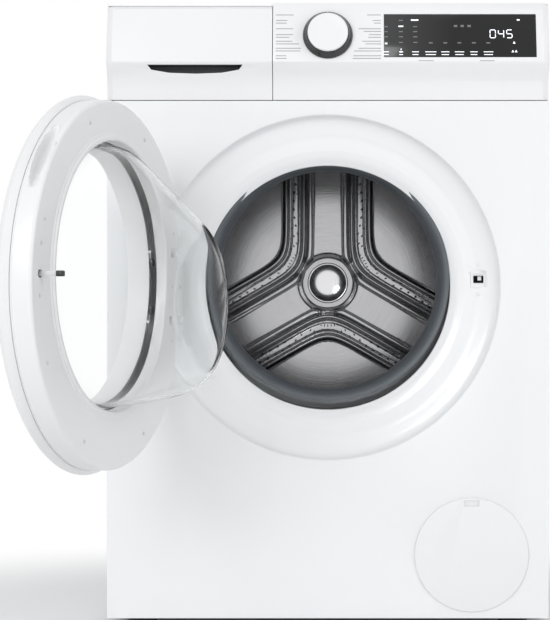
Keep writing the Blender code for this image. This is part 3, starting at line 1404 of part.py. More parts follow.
def hoses():
    """Water ways inside the cabinet: tub inlet, sump and drain."""
    top = HOUSING_LOW - GAP
    bottom = TUB_INLET_Z + GAP
    upright = [(HOSE_X, HOSE_Y, bottom), (HOSE_X, HOSE_Y, top)]
    tube("dispenser_hose", upright, HOSE_RADIUS, BLACK_RUBBER, ROOT)

    sump = [
        (SUMP_X, SUMP_Y, SUMP_Z - 0.010),
        (SUMP_X + 0.004, SUMP_Y, SUMP_Z - 0.022),
        (SUMP_X + 0.040, SUMP_Y - 0.025, SUMP_Z - 0.040),
        (FLAP_X - 0.030, PORT_Y + 0.010, PORT_TOP + 0.045),
        (FLAP_X - 0.002, PORT_Y, PORT_TOP + 0.020),
        (FLAP_X, PORT_Y, PORT_TOP + 0.008),
    ]
    sump_start = (SUMP_X, SUMP_Y, SUMP_Z - GAP)
    sump_end = (FLAP_X, PORT_Y, PORT_TOP + GAP)
    sump_path = [sump_start, *smooth_route(sump, 3), sump_end]
    tube("sump_hose", sump_path, SUMP_RADIUS - 0.002, BLACK_RUBBER, ROOT)

    wall_x = HALF - SHEET - 0.016
    drain = [
        (FLAP_X + 0.058, OUTLET_Y, FLAP_Z),
        (FLAP_X + 0.070, OUTLET_Y + 0.004, FLAP_Z + 0.012),
        (wall_x - 0.001, OUTLET_Y + 0.030, FLAP_Z + 0.060),
        (wall_x, OUTLET_Y + 0.120, FLAP_Z + 0.1993),
        (wall_x, DEPTH - 0.150, SPIGOT_Z - 0.240),
        (wall_x, DEPTH - 0.070, SPIGOT_Z - 0.060),
        (SPIGOT_X + 0.004, DEPTH - 0.050, SPIGOT_Z - 0.006),
        (SPIGOT_X, DEPTH - 0.020, SPIGOT_Z),
    ]
    drain_start = (FLAP_X + 0.052 + GAP, OUTLET_Y, FLAP_Z)
    drain_end = (SPIGOT_X, SPIGOT_BACK_FACE - GAP, SPIGOT_Z)
    drain_path = [drain_start, *smooth_route(drain, 3), drain_end]
    tube("drain_hose_inner", drain_path, OUTLET_RADIUS, BLACK_RUBBER, ROOT)


def rear_connections():
    """Inlet valve with its threaded nozzle, drain spigot, mains inlet, and the motor's module."""
    back = DEPTH - SHEET - GAP
    low = (INLET_X - 0.022, VALVE_FRONT, INLET_Z - 0.022)
    valve = slab("inlet_valve", low, (INLET_X + 0.022, back, INLET_Z + 0.022), WHITE_PLASTIC, ROOT)
    at = (INLET_X, INLET_Z, 24)
    nozzle = cylinder("nozzle", INLET_RADIUS, back - 0.004, INLET_END, None, ROOT, *at)
    bore = cylinder("nozzle_bore", INLET_RADIUS - 0.0035, back, INLET_END + 0.01, None, ROOT, *at)
    join(valve, nozzle)
    cut(valve, bore)

    r = SPIGOT_RADIUS
    spigot = [
        (0.020, SPIGOT_BACK_FACE),
        (0.020, back),
        (r, back),
        (r, INLET_END - 0.004),
        (r - 0.003, INLET_END - 0.004),
        (r - 0.003, SPIGOT_BACK_FACE),
    ]
    turned("drain_spigot", from_front(spigot), GREY_PLASTIC, ROOT, (SPIGOT_X, 0, SPIGOT_Z), FORWARD, 24)

    low = (MAINS_X - 0.020, back - 0.030, SPIGOT_Z - 0.016)
    mains = slab("power_inlet", low, (MAINS_X + 0.020, back, SPIGOT_Z + 0.016), BLACK_PLASTIC, ROOT)
    gland = cylinder("gland", MAINS_RADIUS, back - 0.004, DEPTH + 0.012, None, ROOT, MAINS_X, SPIGOT_Z, 24)
    gland_bore = cylinder("gland_bore", 0.004, back - 0.01, DEPTH + 0.03, None, ROOT, MAINS_X, SPIGOT_Z, 16)
    join(mains, gland)
    cut(mains, gland_bore)

    floor = FOOT_HEIGHT + PAN_WALL + GAP
    module = slab("motor_module", (0.030, 0.360, floor), (0.190, 0.500, floor + 0.060), BLACK_PLASTIC, ROOT)
    soften(module, 0.003)


pump_flap()
drain_pump()
hoses()
rear_connections()
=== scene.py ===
"""Front load washing machine with its door swung open: the finished look over the working model.

Metres, +Z up, the front facing -Y. Places are worked out from the working model's own boxes.
"""

import json
import math

import bmesh
import bpy
from mathutils import Matrix, Vector

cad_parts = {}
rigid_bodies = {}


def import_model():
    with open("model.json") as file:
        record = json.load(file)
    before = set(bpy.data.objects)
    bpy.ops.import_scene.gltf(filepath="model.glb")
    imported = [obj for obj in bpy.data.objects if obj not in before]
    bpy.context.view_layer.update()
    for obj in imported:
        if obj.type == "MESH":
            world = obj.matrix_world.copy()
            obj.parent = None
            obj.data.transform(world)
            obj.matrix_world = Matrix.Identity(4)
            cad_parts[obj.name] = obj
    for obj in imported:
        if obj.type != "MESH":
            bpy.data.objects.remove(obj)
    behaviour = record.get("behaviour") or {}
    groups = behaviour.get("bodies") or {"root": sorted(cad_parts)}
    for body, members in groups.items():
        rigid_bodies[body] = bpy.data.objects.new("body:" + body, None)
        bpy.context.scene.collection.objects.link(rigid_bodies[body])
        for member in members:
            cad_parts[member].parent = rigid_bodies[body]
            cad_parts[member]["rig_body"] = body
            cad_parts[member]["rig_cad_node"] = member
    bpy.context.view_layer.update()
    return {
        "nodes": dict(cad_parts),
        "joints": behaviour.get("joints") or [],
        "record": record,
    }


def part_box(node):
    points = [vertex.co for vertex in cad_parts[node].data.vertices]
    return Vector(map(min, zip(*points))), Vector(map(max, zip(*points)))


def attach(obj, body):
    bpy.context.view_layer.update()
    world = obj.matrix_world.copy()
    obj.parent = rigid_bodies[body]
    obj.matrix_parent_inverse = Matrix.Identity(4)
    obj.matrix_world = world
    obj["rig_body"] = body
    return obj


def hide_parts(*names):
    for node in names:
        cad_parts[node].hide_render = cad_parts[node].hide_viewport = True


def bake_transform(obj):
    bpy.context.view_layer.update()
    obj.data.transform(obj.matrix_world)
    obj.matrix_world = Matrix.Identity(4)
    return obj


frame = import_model()
nodes = frame["nodes"]
bpy.ops.object.select_all(action="DESELECT")


# Studio: a pale floor that fades to white, soft light from all round, and a level camera.
# The camera stands a little left of centre on the machine's axis, at mid height.
front_low, front_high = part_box("front_panel")
centre_x = (front_low.x + front_high.x) / 2
front_y = front_low.y
mid_height = 0.432
camera_distance = 2.837

camera_data = bpy.data.cameras.new("camera")
camera_data.lens = 121.8
camera_data.shift_x = -0.0852
camera_data.clip_end = 50
camera = bpy.data.objects.new("camera", camera_data)
camera.location = (centre_x, front_y - camera_distance, mid_height)
camera.rotation_euler = (math.pi / 2, 0, 0)
bpy.context.scene.collection.objects.link(camera)
bpy.context.scene.camera = camera
bpy.context.scene.view_settings.view_transform = "Standard"


def added(tree, kind, inputs=None, **settings):
    """A new shading node; each input is a value or another node's output."""
    node = tree.nodes.new(kind)
    for setting, value in settings.items():
        setattr(node, setting, value)
    for name, value in (inputs or {}).items():
        if isinstance(value, bpy.types.NodeSocket):
            tree.links.new(value, node.inputs[name])
        else:
            node.inputs[name].default_value = value
    return node


def arithmetic(tree, operation, *values):
    """The output of one Math node; each value is a number or another node's output."""
    return added(tree, "ShaderNodeMath", dict(enumerate(values)), operation=operation).outputs[0]


def seen_directly(tree):
    """A value of 1 on camera, glossy and transmission rays."""
    path = added(tree, "ShaderNodeLightPath").outputs
    camera_or_gloss = arithmetic(tree, "MAXIMUM", path["Is Camera Ray"], path["Is Glossy Ray"])
    return arithmetic(tree, "MAXIMUM", camera_or_gloss, path["Is Transmission Ray"])


def shown_as(tree, output, share, usual, seen):
    """Mixes two shaders by share and leads them to the tree's output."""
    mix = added(tree, "ShaderNodeMixShader", {0: share, 1: usual.outputs[0], 2: seen.outputs[0]})
    tree.links.new(mix.outputs[0], tree.nodes[output].inputs["Surface"])


world = bpy.data.worlds.new("studio")
bpy.context.scene.world = world
world.use_nodes = True
backdrop = world.node_tree.nodes["Background"]
backdrop.inputs["Color"].default_value = (1, 1, 1, 1)
backdrop.inputs["Strength"].default_value = 1.0
soft_fill = added(world.node_tree, "ShaderNodeBackground", {"Color": (0.97, 0.98, 1.0, 1), "Strength": 0.62})
shown_as(world.node_tree, "World Output", seen_directly(world.node_tree), soft_fill, backdrop)


def soft_lamp(name, place, aim, width, height, power):
    """A rectangular soft box turned towards a point."""
    data = bpy.data.lights.new(name, "AREA")
    data.shape = "RECTANGLE"
    data.size = width
    data.size_y = height
    data.energy = power
    lamp = bpy.data.objects.new(name, data)
    lamp.location = place
    lamp.rotation_euler = (Vector(aim) - Vector(place)).to_track_quat("-Z", "Y").to_euler()
    bpy.context.scene.collection.objects.link(lamp)


soft_lamp("key_light", (-1.5, -2.9, 1.6), (0, 0, 0.45), 1.6, 1.2, 40)
soft_lamp("side_light", (2.4, -1.8, 1.2), (0, 0, 0.45), 1.2, 1.8, 18)
soft_lamp("top_light", (0.2, -0.2, 2.8), (0, 0, 0.5), 1.8, 1.8, 5)

bpy.ops.mesh.primitive_circle_add(vertices=64, radius=12, fill_type="NGON")
floor = bpy.context.object
floor.name = "floor"
floor_finish = bpy.data.materials.new("pale_floor")
floor_finish.use_nodes = True
floor_tree = floor_finish.node_tree
floor_shader = floor_tree.nodes["Principled BSDF"]
floor_shader.inputs["Base Color"].default_value = (0.93, 0.93, 0.93, 1)
floor_shader.inputs["Roughness"].default_value = 0.7
floor_shader.inputs["Specular IOR Level"].default_value = 0.2
floor_place = added(floor_tree, "ShaderNodeTexCoord").outputs["Object"]
floor_distance = added(floor_tree, "ShaderNodeVectorMath", {0: floor_place}, operation="LENGTH")
floor_fade = added(
    floor_tree, "ShaderNodeMapRange",
    {"Value": floor_distance.outputs["Value"], "From Min": 0.48, "From Max": 1.05},
    interpolation_type="SMOOTHSTEP",
)
floor_share = arithmetic(floor_tree, "MULTIPLY", floor_fade.outputs["Result"], seen_directly(floor_tree))
floor_glow = added(floor_tree, "ShaderNodeEmission")
shown_as(floor_tree, "Material Output", floor_share, floor_shader, floor_glow)
floor.data.materials.append(floor_finish)


# Folded steel cabinet: two sides, a rear sheet with its cover, a drip pan and the rails inside.
# The sheets are enamelled white with a very fine orange peel; inner rails are zinc plated.
surface_life = bpy.data.node_groups.new("surface_life", "ShaderNodeTree")


def opening_on(group, name, kind, value=None):
    """A named input of a node group, or an output where no value is given."""
    side = "OUTPUT" if value is None else "INPUT"
    socket = group.interface.new_socket(name, in_out=side, socket_type="NodeSocket" + kind)
    if value is not None:
        socket.default_value = value


opening_on(surface_life, "Colour", "Color", (0.8, 0.8, 0.8, 1))
opening_on(surface_life, "Second Colour", "Color", (0.7, 0.7, 0.7, 1))
opening_on(surface_life, "Cloud Scale", "Float", 6.0)
opening_on(surface_life, "Grain Scale", "Float", 900.0)
opening_on(surface_life, "Grain Mix", "Float", 0.1)
opening_on(surface_life, "Roughness", "Float", 0.4)
opening_on(surface_life, "Roughness Spread", "Float", 0.05)
opening_on(surface_life, "Colour", "Color")
opening_on(surface_life, "Roughness", "Float")
opening_on(surface_life, "Height", "Float")
given = added(surface_life, "NodeGroupInput").outputs
life_place = added(surface_life, "ShaderNodeTexCoord").outputs["Object"]
cloud_noise = added(
    surface_life, "ShaderNodeTexNoise", {"Vector": life_place, "Scale": given["Cloud Scale"], "Detail": 3}
).outputs["Fac"]
grain_noise = added(
    surface_life, "ShaderNodeTexNoise", {"Vector": life_place, "Scale": given["Grain Scale"], "Detail": 2}
).outputs["Fac"]
life_colour = added(surface_life, "ShaderNodeMix", {
    "Factor": arithmetic(surface_life, "MULTIPLY_ADD", grain_noise, given["Grain Mix"], cloud_noise),
}, data_type="RGBA")
surface_life.links.new(given["Colour"], life_colour.inputs["A"])
surface_life.links.new(given["Second Colour"], life_colour.inputs["B"])
added(surface_life, "NodeGroupOutput", {
    "Colour": life_colour.outputs["Result"],
    "Roughness": arithmetic(
        surface_life, "MULTIPLY_ADD", cloud_noise, given["Roughness Spread"], given["Roughness"]
    ),
    "Height": grain_noise,
})


def living_finish(name, colour, second, roughness, metallic=0.0, cloud=6.0, grain=900.0, bump=0.02, **more):
    """A finish whose colour, gloss and fine relief vary over the piece."""
    finish = bpy.data.materials.new(name)
    finish.use_nodes = True
    tree = finish.node_tree
    shader = tree.nodes["Principled BSDF"]
    life = added(tree, "ShaderNodeGroup", {
        "Colour": (*colour, 1), "Second Colour": (*second, 1), "Cloud Scale": cloud, "Grain Scale": grain,
        "Grain Mix": more.get("grain_mix", 0.15), "Roughness": roughness,
        "Roughness Spread": more.get("spread", 0.06),
    }, node_tree=surface_life).outputs
    relief = added(tree, "ShaderNodeBump", {"Strength": bump, "Distance": 0.001, "Height": life["Height"]})
    tree.links.new(life["Colour"], shader.inputs["Base Color"])
    tree.links.new(life["Roughness"], shader.inputs["Roughness"])
    tree.links.new(relief.outputs["Normal"], shader.inputs["Normal"])
    shader.inputs["Metallic"].default_value = metallic
    shader.inputs["Coat Weight"].default_value = more.get("coat", 0.0)
    return finish


def paint(piece, finish):
    """Gives the whole piece one finish."""
    piece.data.materials.clear()
    piece.data.materials.append(finish)
    for face in piece.data.polygons:
        face.material_index = 0


def softened(node, finish, width=0.0008, segments=2, name=None):
    """The working model's piece again, with its edges rounded and its curves smoothed."""
    bpy.ops.object.select_all(action="DESELECT")
    piece = nodes[node].copy()
    piece.data = nodes[node].data.copy()
    piece.name = name or node + "_finished"
    piece.parent = None
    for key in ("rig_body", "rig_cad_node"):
        if key in piece:
            del piece[key]
    bpy.context.scene.collection.objects.link(piece)
    bpy.context.view_layer.objects.active = piece
    piece.select_set(True)
    bpy.ops.object.mode_set(mode="EDIT")
    bpy.ops.mesh.select_all(action="SELECT")
    bpy.ops.mesh.remove_doubles(threshold=0.000005)
    bpy.ops.mesh.dissolve_limited(angle_limit=math.radians(1))
    bpy.ops.object.mode_set(mode="OBJECT")
    if width:
        rounding = piece.modifiers.new("rounded edges", "BEVEL")
        rounding.width = width
        rounding.segments = segments
        rounding.limit_method = "ANGLE"
        rounding.angle_limit = math.radians(35)
        rounding.harden_normals = False
        bpy.ops.object.modifier_apply(modifier=rounding.name)
    bpy.ops.object.shade_smooth_by_angle(angle=math.radians(32))
    paint(piece, finish)
    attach(piece, node_body(node))
    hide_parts(node)
    piece.select_set(False)
    return piece


def node_body(node):
    """The body that a working piece moves with."""
    groups = frame["record"]["behaviour"]["bodies"]
    return next(body for body, members in groups.items() if node in members)


white_enamel = living_finish(
    "white_enamel", (0.84, 0.85, 0.86), (0.80, 0.81, 0.82), 0.27, cloud=3, grain=1400, bump=0.012, coat=0.3
)
zinc_plate = living_finish(
    "zinc_plate", (0.55, 0.57, 0.60), (0.42, 0.44, 0.47), 0.34, 1.0, cloud=60, grain=400, bump=0.05
)
softened("side_panel_left", white_enamel, 0.0005)
softened("side_panel_right", white_enamel, 0.0005)
softened("rear_panel", white_enamel, 0.0003)
for node in ("base_pan", "panel_carrier", "bearing_front", "bearing_rear", "motor_rotor"):
    paint(nodes[node], zinc_plate)


# Enamelled front: a pressed sheet with a round dish that the shut door fills.
# The dish steps in twice and ends in a rolled collar, which carries the door seal.
joint_places = {joint["name"]: joint["pos_m"] for joint in frame["joints"] if "pos_m" in joint}
recess_z = joint_places["door_swing"][2]
opening_z = joint_places["drum_spin"][2]
recess_radius = 0.2340
opening_radius = 0.1665


def spun(name, profile, middle, steps=128, edge=0.0, smooth=35):
    """A closed (radius, y) profile turned round a level axis through middle = (x, z)."""
    bpy.ops.object.select_all(action="DESELECT")
    x, z = middle
    radius, depth = profile[0]
    start = (x + radius, front_y + depth, z)
    bpy.ops.mesh.primitive_plane_add(size=0.0001, location=start)
    piece = bpy.context.object
    piece.name = name
    bpy.ops.object.mode_set(mode="EDIT")
    bpy.ops.mesh.merge(type="CENTER")
    for before, after in zip(profile, profile[1:]):
        step = (after[0] - before[0], after[1] - before[1], 0)
        bpy.ops.mesh.extrude_region_move(TRANSFORM_OT_translate={"value": step})
    if profile[0][0] > 0:
        outline = bmesh.from_edit_mesh(piece.data)
        outline.verts.ensure_lookup_table()
        for vertex in outline.verts:
            vertex.select = vertex.index in (0, len(profile) - 1)
        bpy.ops.mesh.edge_face_add()
    bpy.ops.mesh.select_all(action="SELECT")
    bpy.ops.mesh.spin(steps=steps, angle=2 * math.pi, center=(x, front_y, z), axis=(0, 1, 0))
    bpy.ops.mesh.select_all(action="SELECT")
    bpy.ops.mesh.remove_doubles(threshold=0.00002)
    bpy.ops.mesh.normals_make_consistent(inside=False)
    bpy.ops.object.mode_set(mode="OBJECT")
    bpy.ops.object.transform_apply(location=True, rotation=True, scale=True)
    if edge:
        round_edges(piece, edge)
    bpy.ops.object.shade_smooth_by_angle(angle=math.radians(smooth))
    return piece


def round_edges(piece, width, segments=3, angle=30):
    """Rounds the sharp edges of the active piece."""
    rounding = piece.modifiers.new("rounded edges", "BEVEL")
    rounding.width = width
    rounding.segments = segments
    rounding.limit_method = "ANGLE"
    rounding.angle_limit = math.radians(angle)
    bpy.context.view_layer.objects.active = piece
    bpy.ops.object.modifier_apply(modifier=rounding.name)


def block(name, low, high, edge=0.0, segments=3):
    """A moulded or folded block between two corners, with rounded edges."""
    bpy.ops.object.select_all(action="DESELECT")
    low = Vector(low)
    high = Vector(high)
    bpy.ops.mesh.primitive_cube_add(size=1, location=(low + high) / 2)
    piece = bpy.context.object
    piece.name = name
    piece.scale = high - low
    bpy.ops.object.transform_apply(location=True, rotation=True, scale=True)
    if edge:
        round_edges(piece, edge, segments)
    bpy.ops.object.shade_smooth_by_angle(angle=math.radians(35))
    return piece


def cut_away(piece, *tools, operation="DIFFERENCE"):
    """Cuts the tools out of the piece and removes them."""
    for tool in tools:
        step = piece.modifiers.new("cut", "BOOLEAN")
        step.operation = operation
        step.object = tool
        bpy.context.view_layer.objects.active = piece
        bpy.ops.object.modifier_apply(modifier=step.name)
        bpy.data.objects.remove(tool)


def finished(piece, finish, body, slot, *replaced):
    """Paints the piece, hangs it on its body and hides the working pieces that it replaces."""
    paint(piece, finish)
    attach(piece, body)
    if replaced:
        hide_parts(*replaced)
    piece.select_set(False)
    return piece


def drum_like(radius, near, far, middle, name="tool", steps=96):
    """A plain round bar used as a tool."""
    return spun(name, [(0, near), (radius, near), (radius, far), (0, far)], middle, steps)


axis_middle = (centre_x, opening_z)
dish_middle = (centre_x, recess_z)
front_sheet = block("front_sheet", front_low, (front_high.x, front_y + 0.0012, front_high.z))
flap_low, flap_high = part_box("pump_flap")
flap_middle = ((flap_low.x + flap_high.x) / 2, (flap_low.z + flap_high.z) / 2)
cut_away(
    front_sheet,
    drum_like(recess_radius, -0.01, 0.01, dish_middle, steps=160),
    drum_like(0.058, -0.01, 0.01, flap_middle),
)
bpy.context.view_layer.objects.active = front_sheet
front_sheet.select_set(True)
round_edges(front_sheet, 0.0004, 2)
bpy.ops.object.shade_smooth_by_angle(angle=math.radians(30))
finished(front_sheet, white_enamel, "cabinet", "white_enamel", "front_panel")

dish = spun(
    "front_dish",
    [
        (0.23395, 0.0000), (0.2331, 0.0006), (0.2325, 0.0026), (0.2318, 0.0056), (0.2304, 0.0088),
        (0.2276, 0.0118), (0.2236, 0.0138), (0.2190, 0.0152), (0.2120, 0.0170), (0.2062, 0.0181),
        (0.2052, 0.0186), (0.1990, 0.0188), (0.1870, 0.0190), (0.1858, 0.0193), (0.1800, 0.0217),
        (0.1740, 0.0238), (0.1716, 0.0262), (0.1690, 0.0276), (0.1670, 0.0290), (opening_radius, 0.0335),
        (opening_radius + 0.0010, 0.0337), (0.1690, 0.0297), (0.1726, 0.0278), (0.1750, 0.0252),
        (0.1810, 0.0230), (0.1870, 0.0204), (0.2000, 0.0200), (0.2072, 0.0194), (0.2200, 0.0164),
        (0.2290, 0.0124), (0.2322, 0.0082), (0.2334, 0.0030), (0.23395, 0.0012),
    ],
    dish_middle,
    200,
)
lock_x = centre_x + 0.205
cut_away(dish, block(
    "slot_tool",
    (lock_x - 0.0085, front_y, opening_z - 0.0100),
    (lock_x + 0.0085, front_y + 0.04, opening_z + 0.0100),
))
finished(dish, white_enamel, "cabinet", "white_enamel")

# The lock's white bezel covers the slot, with a small pale catch behind its opening, a screw above
# and below it, and the black lock body behind the sheet.
black_moulding = living_finish(
    "black_moulding", (0.022, 0.022, 0.024), (0.012, 0.012, 0.013), 0.36, cloud=20, grain=1800, bump=0.05
)
white_moulding = living_finish(
    "white_moulding", (0.83, 0.83, 0.84), (0.79, 0.79, 0.80), 0.36, cloud=4, grain=2200, bump=0.03
)
bezel = block(
    "lock_bezel",
    (lock_x - 0.0105, front_y + 0.0178, opening_z - 0.0118),
    (lock_x + 0.0105, front_y + 0.0200, opening_z + 0.0118),
    0.0009,
)
cut_away(bezel, block(
    "bezel_tool",
    (lock_x - 0.0070, front_y + 0.01, opening_z - 0.0052),
    (lock_x + 0.0068, front_y + 0.03, opening_z + 0.0046),
    0.0010,
))
finished(bezel, white_moulding, "cabinet", "white_plastic")
catch = block(
    "lock_catch",
    (lock_x - 0.0010, front_y + 0.0215, opening_z - 0.0018),
    (lock_x + 0.0042, front_y + 0.0235, opening_z + 0.0044),
    0.0006,
)
finished(catch, white_moulding, "cabinet", "white_plastic")
for rise in (-0.0200, 0.0200):
    screw = spun(
        "lock_screw",
        [
            (0, 0.0181), (0.0007, 0.0181), (0.0010, 0.0172), (0.0020, 0.0171), (0.0028, 0.0176),
            (0.0031, 0.0186), (0.0031, 0.0200), (0, 0.0200),
        ],
        (lock_x, opening_z + rise), 32,
    )
    finished(screw, white_moulding, "cabinet", "white_plastic")
softened("door_lock", black_moulding, 0.0006)


# Levelling feet: rubber soles on zinc studs.
# Only their lowest centimetre shows below the cabinet's edge.
black_rubber = living_finish(
    "black_rubber", (0.030, 0.030, 0.031), (0.046, 0.046, 0.047), 0.58, cloud=30, grain=700, bump=0.12
)
for corner in ("foot_front_left", "foot_front_right", "foot_rear_left", "foot_rear_right"):
    softened(corner, black_rubber, 0.0006)


# Worktop: a 24 mm board with a white laminate skin, and slim plastic edging all round.
laminate = living_finish(
    "white_laminate", (0.86, 0.86, 0.86), (0.80, 0.80, 0.80), 0.33, cloud=5, grain=1600, bump=0.06
)
softened("top_panel", laminate, 0.0022, 4)


# Control panel: a white moulded fascia that leans back and rolls under at its foot.
# It is clipped to the steel rail behind it; the drawer front carries the same section on.
softened("control_panel", white_moulding, 0.0011, 3)
knob_joint = next(joint for joint in frame["joints"] if joint["name"] == "knob_turn")
fascia_out = Vector(knob_joint["axis"]).normalized()
fascia_spot = Vector(joint_places["knob_turn"])
lean = math.atan2(fascia_out.z, -fascia_out.y)


def on_fascia(across, rise, lift=0.0):
    """The point of the fascia's face at a place across from the centre and a height."""
    along = (rise - fascia_spot.z) / math.cos(lean)
    upward = Vector((0, math.sin(lean), math.cos(lean)))
    return fascia_spot + Vector((across, 0, 0)) + upward * along + fascia_out * lift


print_thick = 0.00006


def printed(name, across, rise, width, height, lift=0.00008):
    """A flat printed stroke lying on the fascia."""
    bpy.ops.object.select_all(action="DESELECT")
    bpy.ops.mesh.primitive_cube_add(size=1, location=(0, 0, 0))
    stroke = bpy.context.object
    stroke.name = name
    stroke.scale = (width, print_thick, height)
    stroke.rotation_euler = (-lean, 0, 0)
    stroke.location = on_fascia(across, rise, lift)
    bpy.ops.object.transform_apply(location=True, rotation=True, scale=True)
    return stroke


def joined(name, pieces):
    """One piece made of several."""
    bpy.ops.object.select_all(action="DESELECT")
    for piece in pieces:
        piece.select_set(True)
    bpy.context.view_layer.objects.active = pieces[0]
    bpy.ops.object.join()
    pieces[0].name = name
    return pieces[0]


# Small printed strokes stand for the program list either side of the knob.
grey_print = living_finish(
    "grey_print", (0.30, 0.31, 0.32), (0.36, 0.37, 0.38), 0.5, cloud=40, grain=900, bump=0.0
)
row_rises = (0.8305, 0.8228, 0.8112, 0.8030, 0.7938, 0.7840, 0.7736)
left_lengths = (
    (0.024,), (0.0155, 0.0145), (0.023,), (0.023, 0.018), (0.022, 0.031), (0.034, 0.033), (0.014, 0.0145),
)
right_lengths = (
    (0.0185,), (0.011, 0.009), (0.030, 0.023), (0.016, 0.017), (0.025, 0.021), (0.030, 0.036),
    (0.037, 0.038),
)
left_start = -0.0700
right_end = 0.0715
line_drop = 0.0037
print_high = 0.0011
strokes = []
for rise, left, right in zip(row_rises, left_lengths, right_lengths):
    for index, length in enumerate(left):
        across = left_start + length / 2
        strokes.append(printed("stroke", across, rise - index * line_drop, length, print_high))
    for index, length in enumerate(right):
        across = right_end - length / 2
        strokes.append(printed("stroke", across, rise - index * line_drop, length, print_high))
for across in (0.132, 0.214):
    strokes.append(printed("stroke", across, 0.7668, 0.020, 0.0010))
program_marks = joined("program_marks", strokes)
finished(program_marks, grey_print, "cabinet", "black_plastic")

# Display: a tinted window let into the fascia, its colour lighter at its left and near black from its middle
# on, with lit figures behind it.
window_glass = bpy.data.materials.new("window_glass")
window_glass.use_nodes = True
window_tree = window_glass.node_tree
window_shader = window_tree.nodes["Principled BSDF"]
window_shader.inputs["Roughness"].default_value = 0.12
window_shader.inputs["Specular IOR Level"].default_value = 0.35
window_place = added(window_tree, "ShaderNodeTexCoord").outputs["Object"]
window_x = added(window_tree, "ShaderNodeSeparateXYZ", {0: window_place}).outputs["X"]
display_low, display_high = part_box("display_glass")
window_fade = added(window_tree, "ShaderNodeMapRange", {
    "Value": window_x, "From Min": display_low.x, "From Max": display_high.x,
})
# The window's colour runs from a lighter grey at its left edge to near black by its middle.
window_ramp = added(window_tree, "ShaderNodeValToRGB", {0: window_fade.outputs["Result"]})
window_ramp.color_ramp.elements[0].color = (0.046, 0.046, 0.047, 1)
window_ramp.color_ramp.elements[1].position = 0.45
window_ramp.color_ramp.elements[1].color = (0.0085, 0.0085, 0.009, 1)
window_tree.links.new(window_ramp.outputs["Color"], window_shader.inputs["Base Color"])
softened("display_glass", window_glass, 0.0004)


def lit_finish(name, colour, strength):
    """A glowing figure on the display."""
    finish = bpy.data.materials.new(name)
    finish.use_nodes = True
    shader = finish.node_tree.nodes["Principled BSDF"]
    shader.inputs["Base Color"].default_value = (*colour, 1)
    shader.inputs["Emission Color"].default_value = (*colour, 1)
    shader.inputs["Emission Strength"].default_value = strength
    shader.inputs["Roughness"].default_value = 0.4
    return finish


bright_light = lit_finish("bright_light", (0.92, 0.95, 1.0), 0.75)
dim_light = lit_finish("dim_light", (0.17, 0.17, 0.18), 0.0)
segments_of = {"0": "abcdef", "4": "bcfg", "5": "acdfg"}
segment_places = {
    "a": (0, 1, True), "b": (0.5, 0.5, False), "c": (0.5, -0.5, False), "d": (0, -1, True),
    "e": (-0.5, -0.5, False), "f": (-0.5, 0.5, False), "g": (0, 0, True),
}
digit_high = 0.0122
digit_wide = 0.0084
digit_step = 0.0112
stroke_wide = 0.0011
glow_lift = 0.00035
faint_lift = 0.00030
figures = []
for place, digit in enumerate("045"):
    for segment in segments_of[digit]:
        dx, dz, flat = segment_places[segment]
        across = 0.2222 + place * digit_step + dx * (digit_wide - 0.0012)
        rise = 0.8040 + dz * (digit_high / 2 - 0.0006)
        wide = digit_wide - 0.0022 if flat else stroke_wide
        high = stroke_wide if flat else digit_high / 2 - 0.0016
        figures.append(printed("figure", across, rise, wide, high, glow_lift))
for across, rise, wide in (
    (0.1172, 0.8232, 0.010), (0.0985, 0.8145, 0.0065), (0.0785, 0.7905, 0.0032),
    (0.2570, 0.8235, 0.0038), (0.0985, 0.7826, 0.0012), (0.0985, 0.7792, 0.0026),
):
    figures.append(printed("figure", across, rise, wide, 0.0017, glow_lift))
for across, wide in (
    (0.0782, 0.0080), (0.0985, 0.0055), (0.1178, 0.0090), (0.1385, 0.0150), (0.1580, 0.0110),
    (0.1770, 0.0125), (0.1965, 0.0100), (0.2160, 0.0130),
):
    figures.append(printed("figure", across, 0.7790, wide, 0.0009, glow_lift))
    figures.append(printed("figure", across, 0.7752, wide * 0.9, 0.0009, glow_lift))
lit_figures = joined("lit_figures", figures)
finished(lit_figures, bright_light, "cabinet", "black_glass")

faint = []
for across in (0.0782, 0.0985, 0.1178):
    for rise in (0.8232, 0.8145, 0.8075, 0.8003, 0.7925):
        if across > 0.08 or rise < 0.82:
            faint.append(printed("faint", across, rise - 0.0004, 0.0055, 0.0015, faint_lift))
for across in (0.1385, 0.1580, 0.1770, 0.1965, 0.2160):
    faint.append(printed("faint", across, 0.7915, 0.0052, 0.0018, faint_lift))
for across in (0.1722, 0.1812, 0.1905):
    faint.append(printed("faint", across, 0.8150, 0.0046, 0.0030, faint_lift))
faint_figures = joined("faint_figures", faint)
finished(faint_figures, dim_light, "cabinet", "black_glass")

# Start marks at the display's right: three small lit triangles.
marks = []
for across, rise in ((0.2508, 0.7915), (0.2488, 0.7795), (0.2532, 0.7795)):
    bpy.ops.mesh.primitive_cylinder_add(vertices=3, radius=0.0021, depth=print_thick, location=(0, 0, 0))
    mark = bpy.context.object
    mark.rotation_euler = (math.pi / 2 - lean, 0, 0)
    mark.location = on_fascia(across, rise, glow_lift)
    bpy.ops.object.transform_apply(location=True, rotation=True, scale=True)
    marks.append(mark)
start_marks = joined("start_marks", marks)
finished(start_marks, bright_light, "cabinet", "black_glass")


# Program knob: a white cap on a gloss black flared skirt, on the fascia's own slope.
# The skirt stands low, so most of it shows below the cap; a fine ridge rings the cap's edge.
def turned_on_fascia(name, profile, steps=96, smooth=35):
    """A (radius, height) profile turned round the knob's axis; height is along the axis."""
    piece = spun(name, [(radius, -height) for radius, height in profile], (0, 0), steps, 0, smooth)
    piece.data.transform(Matrix.Translation((0, -front_y, 0)))
    turn = Matrix.Rotation(-lean, 4, "X")
    piece.data.transform(Matrix.Translation(fascia_spot) @ turn)
    return piece


